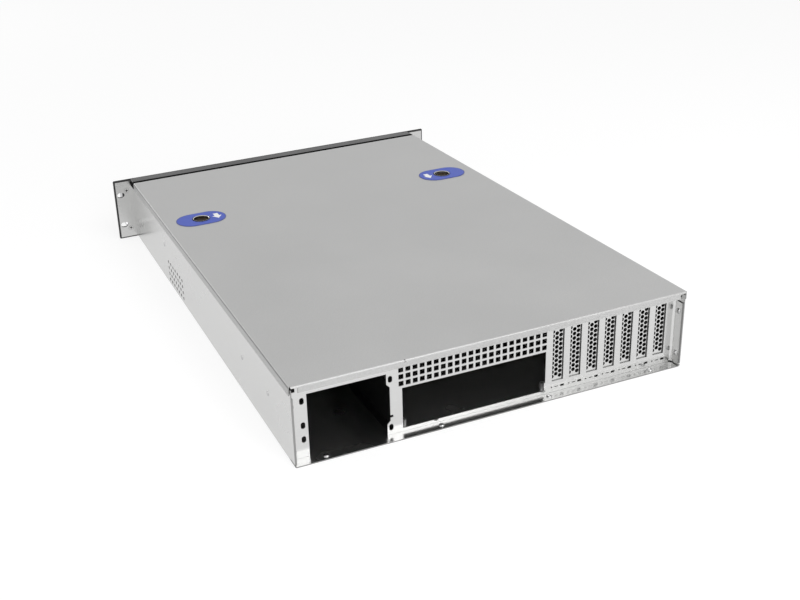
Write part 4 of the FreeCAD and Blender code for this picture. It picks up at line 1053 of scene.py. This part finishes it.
@dataclass
class Ears:
    """The bright plates behind the rack ears, bent round inside the side walls."""

    layout: Layout
    outer: float = 239.1
    inner: float = 208.3
    notch_x: float = 217.3
    notch_z: float = 77.2
    face: float = -307.05
    thickness: float = 1.6
    low: float = 2.6
    high: float = 84.8
    leg_start: float = 206.4
    leg_face: float = 214.2
    leg_fold: float = 2.4
    leg_low: float = 3.8
    leg_high: float = 83.0
    leg_end: float = -273.05
    slot_width: float = 10.4
    slot_height: float = 7.2
    screw_bore: float = 3.45
    screw_head: float = 3.25
    recess_reach: float = 1.9
    recess_half: float = 0.5

    def build(self) -> None:
        """Builds both ears and the screws from behind them into the handles."""
        s = self.layout
        for side in Side:
            name = side.name.lower()
            form = joined((self._plate(side.value), self._leg(side.value)))
            node = (f"ear_bracket_{name}",)
            place_piece(f"ear_plate_{name}", form, EAR_STEEL, "chassis", node, EDGE_STEEL)
        places = [(side.value * s.handle_x, z) for side in Side for z in s.handle_heights]
        heads = joined(self._screw_head(x, z) for x, z in places)
        shank = ((0, -9.5), (1.7, -9.5), (1.95, -9.0), (1.95, 0.0), (3.2, 0.0), (3.2, 0.75), (0, 0.75))
        shanks = joined(turned(shank, (x, self.face, z), (0, 1, 0), 24) for x, z in places)
        place_piece("handle_screw_heads", heads, EAR_STEEL, "chassis", ("handle_screws",))
        # The shanks show only through the cross recesses, near-black as painted shade.
        place_piece("handle_screw_shanks", shanks, RECESS_SHADE, "chassis")

    def _plate(self, sign: int) -> Form:
        """Builds the plate behind one ear.

        Args:
            sign: The side's sign.

        Returns:
            The plate.
        """
        s = self.layout
        corners = [
            (self.inner, self.low), (self.outer, self.low), (self.outer, self.high),
            (self.notch_x, self.high), (self.notch_x, self.notch_z), (self.inner, self.notch_z),
        ]
        outline = [(sign * x, z) for x, z in corners]
        if sign < 0:
            outline.reverse()
        holes = [slot_loop(sign * s.rack_x, z, self.slot_width, self.slot_height) for z in s.rack_heights]
        holes += [circle(sign * s.handle_x, z, self.screw_bore, 24) for z in s.handle_heights]
        return Sheet(outline, self.thickness, Facing.REARWARD, self.face + self.thickness, holes).solid()

    def _leg(self, sign: int) -> Form:
        """Builds the leg that runs back inside one side wall.

        Args:
            sign: The side's sign.

        Returns:
            The leg.
        """
        bend = Bend(self.leg_face - self.leg_fold, 90, self.leg_fold)
        end = bend.end + self.leg_end - self.face - self.leg_fold
        outline = rectangle(self.leg_start, end, self.leg_low, self.leg_high)
        if sign < 0:
            outline = [(-u, v) for u, v in reversed(outline)]
        fold = FoldLine((bend,), (bend,))
        return Sheet(outline, self.thickness, Facing.FORWARD, self.face, [], fold, steps=5).solid()

    def _screw_head(self, x: float, z: float) -> Form:
        """Builds a countersunk screw's flat head, which is open where its cross recess is.

        Args:
            x: The axis's X.
            z: The axis's height.

        Returns:
            The head.
        """
        arm, wide = self.recess_reach, self.recess_half
        quarter = [(arm, -wide), (arm, wide), (wide, wide)]
        recess: Loop = []
        for _ in range(4):
            recess += [(x + u, z + v) for u, v in quarter]
            quarter = [(-v, u) for u, v in quarter]
        level = self.face + self.thickness + 0.05
        return Sheet(circle(x, z, self.screw_head, 24), 0.9, Facing.REARWARD, level, [recess]).solid()


@dataclass
class Handles:
    """The two bent rod handles on the front panel."""

    layout: Layout
    radius: float = 4.0
    bend: float = 9.0
    reach: float = 34.0

    def build(self) -> None:
        """Builds both handles."""
        front = self.layout.front
        far = front - self.reach + self.radius
        low, high = self.layout.handle_heights
        for side in Side:
            name = side.name.lower()
            x = side.value * self.layout.handle_x
            path = ((x, front, low), (x, far, low), (x, far, high), (x, front, high))
            form = bent_rod(path, self.radius, self.bend)
            node = (f"handle_{name}",)
            place_piece(f"handle_rod_{name}", form, HANDLE_METAL, "chassis", node)


@dataclass
class Cover:
    """The sliding top cover, folded from one sheet."""

    layout: Layout
    half_width: float = 217.0
    thickness: float = 1.0
    front: float = -285.05
    end: float = 342.75
    side_low: float = 77.5
    rear_low: float = 79.7
    fold: float = 2.0
    corner: float = 208.0
    notch_left: float = 100.9
    notch_right: float = 102.3
    latch_bore: float = 10.65

    def build(self) -> None:
        """Folds the cover with its corner reliefs, its notch and its two latch holes, and paints a dark
        reflection line on its side bends.
        """
        s = self.layout
        side = Bend(self.half_width - self.fold, 90, self.fold)
        tail = Bend(self.end - self.fold, 90, self.fold)
        edge = side.end + s.cover_top - self.fold - self.side_low
        drop = tail.end + s.cover_top - self.fold - self.rear_low
        outline = mirrored([
            (edge, self.front), (edge, tail.start), (side.start, tail.start),
            (side.start, tail.start + tail.length * 0.87), (self.corner + 1.2, tail.end + 0.1),
            (self.corner + 0.2, tail.end + 0.6), (self.corner + 0.4, drop),
        ])
        holes = [circle(one.value * s.latch_x, s.latch_y, self.latch_bore, 40) for one in Side]
        holes.append(rectangle(self.notch_left, self.notch_right, tail.start + 0.6, tail.end + 0.4))
        drops, rear = FoldLine((side,), (side,)), FoldLine((tail,))
        form = Sheet(outline, self.thickness, Facing.UP, s.cover_top, holes, drops, rear).solid()
        # The side bends' faces that look mostly sideways get the darker grey: a painted dark reflection line.
        form.paint_side_shade(0.7, 0.995)
        place_piece("top_cover_sheet", form, COVER_GREY, "cover", ("top_cover",), COVER_EDGE_AND_SHADE)


@dataclass
class Latches:
    """The cover's two latches: blue pad, near-black collar as painted shade with a bright liner, button and
    arrow.
    """

    layout: Layout
    pad_length: float = 64.0
    pad_width: float = 42.0
    pad_height: float = 0.5
    edge_width: float = 0.9
    edge_drop: float = 0.08
    ring: float = 11.5
    bore: float = 9.8
    ring_height: float = 0.9
    head: float = 9.3
    button_top: float = 85.4
    arrow_x: float = 149.2
    arrow_height: float = 0.15
    arrow: tuple[Point, ...] = ((0, 8.5), (-6, 0), (-3, 0), (-3, -8.5), (3, -8.5), (3, 0), (6, 0))

    def build(self) -> None:
        """Builds both latches and their arrows."""
        for side in Side:
            name = side.name.lower()
            x = side.value * self.layout.latch_x
            self._pad(name, x)
            self._collar(name, x)
            self._button(name, x)
        arrows = joined(self._arrow(side.value * self.arrow_x) for side in Side)
        place_piece("latch_arrow_prints", arrows, ARROW_WHITE, "cover", ("latch_arrows",))

    def _pad(self, name: str, x: float) -> None:
        """Builds one pad with its darker edge, which is painted shade.

        Args:
            name: The side's name.
            x: The latch's X.
        """
        y = self.layout.latch_y
        top = self.layout.cover_top + self.pad_height
        inset = self.edge_width
        hole = circle(x, y, self.ring + 0.05, 48)
        middle = slot_loop(x, y, self.pad_length - 2 * inset, self.pad_width - 2 * inset, 14)
        rim = slot_loop(x, y, self.pad_length, self.pad_width, 14)
        inner = Sheet(middle, self.pad_height, Facing.UP, top, [hole]).solid()
        drop = self.edge_drop
        outer = Sheet(rim, self.pad_height - drop, Facing.UP, top - drop, [middle]).solid()
        node = (f"latch_pad_{name}",)
        place_piece(f"latch_pad_face_{name}", inner, PAD_BLUE, "cover", node)
        # The pad's edge is a darker copy of its blue as painted shade.
        place_piece(f"latch_pad_edge_{name}", outer, PAD_EDGE_SHADE, "cover")

    def _collar(self, name: str, x: float) -> None:
        """Builds the collar pressed into the cover, near-black as painted shade, with its bright liner.

        Args:
            name: The side's name.
            x: The latch's X.
        """
        foot = (x, self.layout.latch_y, self.layout.cover_top)
        top = self.ring_height
        wall = self.bore + 0.5
        rim = (
            (wall, -1.0), (10.6, -1.0), (10.6, 0.0), (self.ring, 0.0), (self.ring, top - 0.45),
            (self.ring - 0.15, top - 0.16), (self.ring - 0.45, top), (wall, top), (wall, -1.0),
        )
        liner = (
            (self.bore, -0.9), (wall - 0.1, -0.9), (wall - 0.1, 0.0), (wall, 0.0), (wall, top),
            (self.bore + 0.3, top), (self.bore, top - 0.3), (self.bore, -0.9),
        )
        form = turned(rim, foot, steps=64, sharp=40)
        # The collar is near-black: painted shade round the bright liner.
        place_piece(f"latch_collar_{name}", form, RING_SHADE, "cover", (f"latch_ring_{name}",))
        form = turned(liner, foot, steps=64, sharp=40)
        place_piece(f"latch_liner_{name}", form, RING_CHROME, "cover")

    def _button(self, name: str, x: float) -> None:
        """Builds the dished button on its stem.

        Args:
            name: The side's name.
            x: The latch's X.
        """
        top = self.button_top
        head = self.head
        profile = (
            (0, 74.8), (2.7, 74.8), (3.0, 75.1), (3.0, 77.8), (2.2, 77.8), (2.2, 78.7), (3.0, 78.7),
            (3.0, top - 1.8), (head, top - 1.8), (head, top - 0.4), (head - 0.15, top - 0.12),
            (head - 0.45, top), (head - 2.6, top), (head - 3.1, top - 0.5), (0, top - 0.5),
        )
        form = turned(profile, (x, self.layout.latch_y, 0), steps=48, sharp=40)
        node = (f"latch_button_{name}",)
        place_piece(f"latch_push_{name}", form, BUTTON_BRONZE, f"latch_{name}", node)

    def _arrow(self, x: float) -> Form:
        """Builds one arrow.

        Args:
            x: The arrow's middle X.

        Returns:
            The arrow.
        """
        outline = [(x + u, self.layout.latch_y + v) for u, v in self.arrow]
        top = self.layout.cover_top + self.pad_height + self.arrow_height
        return Sheet(outline, self.arrow_height, Facing.UP, top).solid()


@dataclass
class Fasteners:
    """The domed rivets and the main board's standoffs."""

    layout: Layout
    rivet_radius: float = 3.0
    rivet_rise: float = 1.8
    flat_rise: float = 0.8
    floor_xs: tuple[float, ...] = (182.05, 60.68, -60.68, -182.05)
    floor_y: float = 335.65
    flange_face: float = 213.0
    flange_y: float = 335.25
    flange_zs: tuple[float, ...] = (14.0, 62.5)
    both_walls: tuple[Point, ...] = ((-129.75, 52.0),)
    left_wall: tuple[Point, ...] = ((191.35, 44.2), (272.25, 44.2))
    post_half: float = 2.75
    post_height: float = 6.5
    post_top: float = 7.7
    board_xs: tuple[float, ...] = (94.0, -63.48, -187.94)
    board_ys: tuple[float, ...] = (318.25, 163.31, 90.92)

    def build(self) -> None:
        """Builds the rivets and the standoffs."""
        places = [(x, self.floor_y, self.layout.steel) for x in self.floor_xs]
        floor = joined(self._rivet(place, (0, 0, 1), self.rivet_rise) for place in places)
        place_piece("floor_rivet_heads", floor, RIVET_STEEL, "chassis", ("floor_rivets",))
        walls = joined(form for side in Side for form in self._wall_rivets(side))
        place_piece("side_rivet_heads", walls, RIVET_STEEL, "chassis", ("side_rivets",))
        posts = joined(self._standoff(x, y) for x in self.board_xs for y in self.board_ys)
        place_piece("standoff_posts", posts, STANDOFF_STEEL, "chassis", ("standoffs",))

    def _wall_rivets(self, side: Side) -> list[Form]:
        """Builds the rivets outside one side wall and those inside the rear panel's flange.

        Args:
            side: The side.

        Returns:
            The rivets.
        """
        sign = float(side.value)
        places = self.both_walls + (self.left_wall if side is Side.LEFT else ())
        outer = [(sign * self.layout.half_width, y, z) for y, z in places]
        inner = [(sign * self.flange_face, self.flange_y, z) for z in self.flange_zs]
        outside = [self._rivet(place, (sign, 0.0, 0.0), self.flat_rise) for place in outer]
        return outside + [self._rivet(place, (-sign, 0.0, 0.0), self.rivet_rise) for place in inner]

    def _rivet(self, place: Place, outward: Place, rise: float) -> Form:
        """Builds one domed rivet head.

        Args:
            place: Where the head sits.
            outward: The way it faces.
            rise: The dome's height.

        Returns:
            The head.
        """
        angles = [math.pi / 2 * k / 6 for k in range(6)]
        dome = [(self.rivet_radius * math.cos(angle), rise * math.sin(angle)) for angle in angles]
        return turned((*dome, (0.0, rise)), place, outward, 24)

    def _standoff(self, x: float, y: float) -> Form:
        """Builds one hexagonal standoff with its tapped hole."""
        hexagon = circle(x, y, self.post_half / math.cos(math.pi / 6), 6)
        return Sheet(hexagon, self.post_height, Facing.UP, self.post_top, [circle(x, y, 1.5, 20)]).solid()


@dataclass
class Controls:
    """The power and reset buttons and the three light pipes of the front panel."""

    layout: Layout

    def build(self) -> None:
        """Builds the buttons and the light pipes."""
        self._button("power", 62.0, 5.75, 7.2)
        self._button("reset", 46.0, 2.75, 4.2)
        profile = ((0.0, -0.35), (0.8, -0.22), (1.25, 0.0), (1.45, 0.3), (1.45, 5.6), (0.0, 5.6))
        places = [(self.layout.control_x, self.layout.front, z) for z in (33.0, 26.0, 19.0)]
        pipes = joined(turned(profile, place, (0, 1, 0), 20) for place in places)
        place_piece("light_pipes", pipes, LIGHT_CLEAR, "chassis", ("status_lights",))

    def _button(self, name: str, z: float, radius: float, collar: float) -> None:
        """Builds one push button with its collar.

        Args:
            name: The button's name and body.
            z: Its height.
            radius: Radius of its cap.
            collar: Radius of the collar behind the panel.
        """
        profile = (
            (0.0, -0.85), (radius * 0.55, -0.9), (radius - 0.6, -1.15), (radius - 0.25, -1.2),
            (radius, -0.85), (radius, 1.65), (collar, 1.65), (collar, 3.05), (1.6, 3.05), (1.6, 6.65),
            (0.0, 6.65),
        )
        form = turned(profile, (self.layout.control_x, self.layout.front, z), (0, 1, 0), 40, 40)
        place_piece(f"{name}_cap", form, BUTTON_BLACK, name, (f"{name}_button",))


@dataclass
class Interior:
    """The pieces inside the case, which keep the part's own meshes."""

    steel: tuple[str, ...] = ("fan_wall", "power_bay_guide", "power_bay_rail", "drive_cage")
    plastic: tuple[str, ...] = ("control_module",)
    springs: tuple[str, ...] = ("latch_clip", "latch_spring")

    def dress(self, nodes: dict[str, bpy.types.Object]) -> None:
        """Gives each inner piece its finish; the steel pieces get near-black steel as painted shade.

        Args:
            nodes: The part's nodes by name.
        """
        springs = tuple(f"{name}_{side.name.lower()}" for name in self.springs for side in Side)
        # The inner steel is near-black as painted shade of the closed interior.
        groups = ((self.steel, INNER_SHADE_STEEL), (self.plastic, CONTROL_BLACK), (springs, SPRING_STEEL))
        for names, finish in groups:
            for name in names:
                materials = nodes[name].data.materials
                materials.clear()
                materials.append(finish.material())
                LOG.info("%s: dressed", name)


@dataclass
class Studio:
    """The plain pale floor, the soft light and the camera.

    Attributes:
        eye: The camera's place, in metres.
        azimuth: Where it stands round the case, in degrees.
        elevation: Its height above the horizon, in degrees.
        roll: Its roll, in degrees.
        lens: Its focal length on a 36 mm sensor.
        shift: Its sideways and upward shift.
        ambient: The world's plain level.
        backdrop: Level at which the floor shows.
        mirrored: Level at which the floor shows in reflections.
        glow_share: Share of that plain level in what the floor shows; the rest is its shaded surface.
        floor_half: Half the floor's width, in millimetres.
    """

    eye: Place = (0.4834, 1.1568, 0.5816)
    azimuth: float = 160.66
    elevation: float = 22.87
    roll: float = 3.65
    lens: float = 49.293
    shift: tuple[float, float] = (0.125, -0.0625)
    ambient: float = 0.56
    backdrop: float = 1.1
    mirrored: float = 0.98
    glow_share: float = 0.7
    floor_half: float = 6000.0

    def build(self) -> None:
        """Sets up the camera, the world, the lamps and the floor."""
        self._camera()
        self._world()
        self._floor()
        self._lamp("key", (-0.5, 1.4, 1.6), (0, 0.3, 0.05), 1.4, 14.5)
        self._lamp("side", (2.4, 0.4, 0.8), (0.1, 0, 0.05), 1.6, 6.5)
        self._lamp("rear", (0.0, 2.9, 0.8), (0, 0.3, 0.05), 1.6, 50.0).visible_glossy = False
        self._lamp("front", (1.25, -2.7, 0.85), (0.15, 0, 0.08), 0.9, 7.0)
        bpy.context.scene.view_settings.view_transform = "Standard"

    def _camera(self) -> None:
        """Places the camera at the photograph's viewing angle."""
        data = bpy.data.cameras.new("photo_camera")
        data.lens = self.lens
        data.sensor_width = 36.0
        data.shift_x, data.shift_y = self.shift
        data.clip_start = 0.05
        data.clip_end = 60.0
        camera = bpy.data.objects.new("photo_camera", data)
        bpy.context.scene.collection.objects.link(camera)
        a, e, roll = (math.radians(angle) for angle in (self.azimuth, self.elevation, self.roll))
        back = Vector((math.sin(a) * math.cos(e), -math.cos(a) * math.cos(e), math.sin(e)))
        level = Vector((0, 0, 1)).cross(back).normalized()
        upright = back.cross(level)
        right = level * math.cos(roll) - upright * math.sin(roll)
        up = back.cross(right)
        turn = Matrix((right, up, back)).transposed().to_4x4()
        camera.matrix_world = Matrix.Translation(self.eye) @ turn
        bpy.context.scene.camera = camera

    def _world(self) -> None:
        """Makes the world an even soft light that the camera and gloss see as white."""
        world = bpy.data.worlds.new("soft_white")
        world.use_nodes = True
        graph = Graph(world.node_tree)
        level = graph.add("MapRange", {"Value": self._seen(graph), "To Min": self.ambient, "To Max": 1.0})
        sky = {"Color": (1, 1, 1, 1), "Strength": level.outputs["Result"]}
        graph.feed(graph.tree.nodes["Background"], sky)
        bpy.context.scene.world = world

    def _seen(self, graph: Graph) -> bpy.types.NodeSocket:
        """Tells the rays that show the background from those that only light things.

        Args:
            graph: The nodes to add to.

        Returns:
            A socket that is 1 for camera, gloss and transmission rays.
        """
        rays = graph.add("LightPath", {}).outputs
        first = graph.add("Math", {0: rays["Is Camera Ray"], 1: rays["Is Glossy Ray"]}, operation="MAXIMUM")
        both = {0: first.outputs["Value"], 1: rays["Is Transmission Ray"]}
        return graph.add("Math", both, operation="MAXIMUM").outputs["Value"]

    def _floor(self) -> None:
        """Lays the pale floor, which keeps the case's shadow and is a little lower in reflections."""
        corners = rectangle(-self.floor_half, self.floor_half, -self.floor_half, self.floor_half)
        form = Form([Vector((x, y, -0.02)) for x, y in corners])
        form.add([0, 1, 2, 3], [Vector((0, 0, 1))] * 4)
        floor = bpy.data.objects.new("floor", form.mesh("floor"))
        bpy.context.scene.collection.objects.link(floor)
        material = bpy.data.materials.new("floor_white")
        material.use_nodes = True
        graph = Graph(material.node_tree)
        graph.tree.nodes.clear()
        matt = graph.add("BsdfDiffuse", {"Color": (0.9, 0.9, 0.9, 1)})
        camera = graph.add("LightPath", {}).outputs["Is Camera Ray"]
        level = graph.add("MapRange", {"Value": camera, "To Min": self.mirrored, "To Max": self.backdrop})
        glow = graph.add("Emission", {"Color": (1, 1, 1, 1), "Strength": level.outputs["Result"]})
        share = graph.add("Math", {0: self._seen(graph), 1: self.glow_share}, operation="MULTIPLY")
        mixed = {"Fac": share.outputs["Value"], 1: matt.outputs["BSDF"], 2: glow.outputs["Emission"]}
        blend = graph.add("MixShader", mixed)
        graph.add("OutputMaterial", {"Surface": blend.outputs["Shader"]})
        floor.data.materials.append(material)

    def _lamp(self, name: str, place: Place, aim: Place, size: float, power: float) -> bpy.types.Object:
        """Hangs one soft lamp.

        Args:
            name: The lamp's name.
            place: Where it hangs, in metres.
            aim: The point that it faces.
            size: Its width.
            power: Its power in watts.

        Returns:
            The lamp.
        """
        data = bpy.data.lights.new(name, "AREA")
        data.shape = "DISK"
        data.size = size
        data.energy = power
        lamp = bpy.data.objects.new(name, data)
        bpy.context.scene.collection.objects.link(lamp)
        way = Vector(place) - Vector(aim)
        lamp.location = place
        lamp.rotation_mode = "QUATERNION"
        lamp.rotation_quaternion = way.to_track_quat("Z", "Y")
        return lamp


def main() -> None:
    """Loads the part, dresses it piece by piece and stages it."""
    logging.basicConfig(level=logging.INFO, format="%(name)s: %(message)s")
    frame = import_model()
    Studio().build()
    layout = Layout()
    assemblies = (Tray, RearPanel, SlotCovers, FrontPanel, Ears, Handles, Cover, Latches, Fasteners, Controls)
    for assembly in assemblies:
        assembly(layout).build()
    Interior().dress(frame["nodes"])


if __name__ == "__main__":
    main()
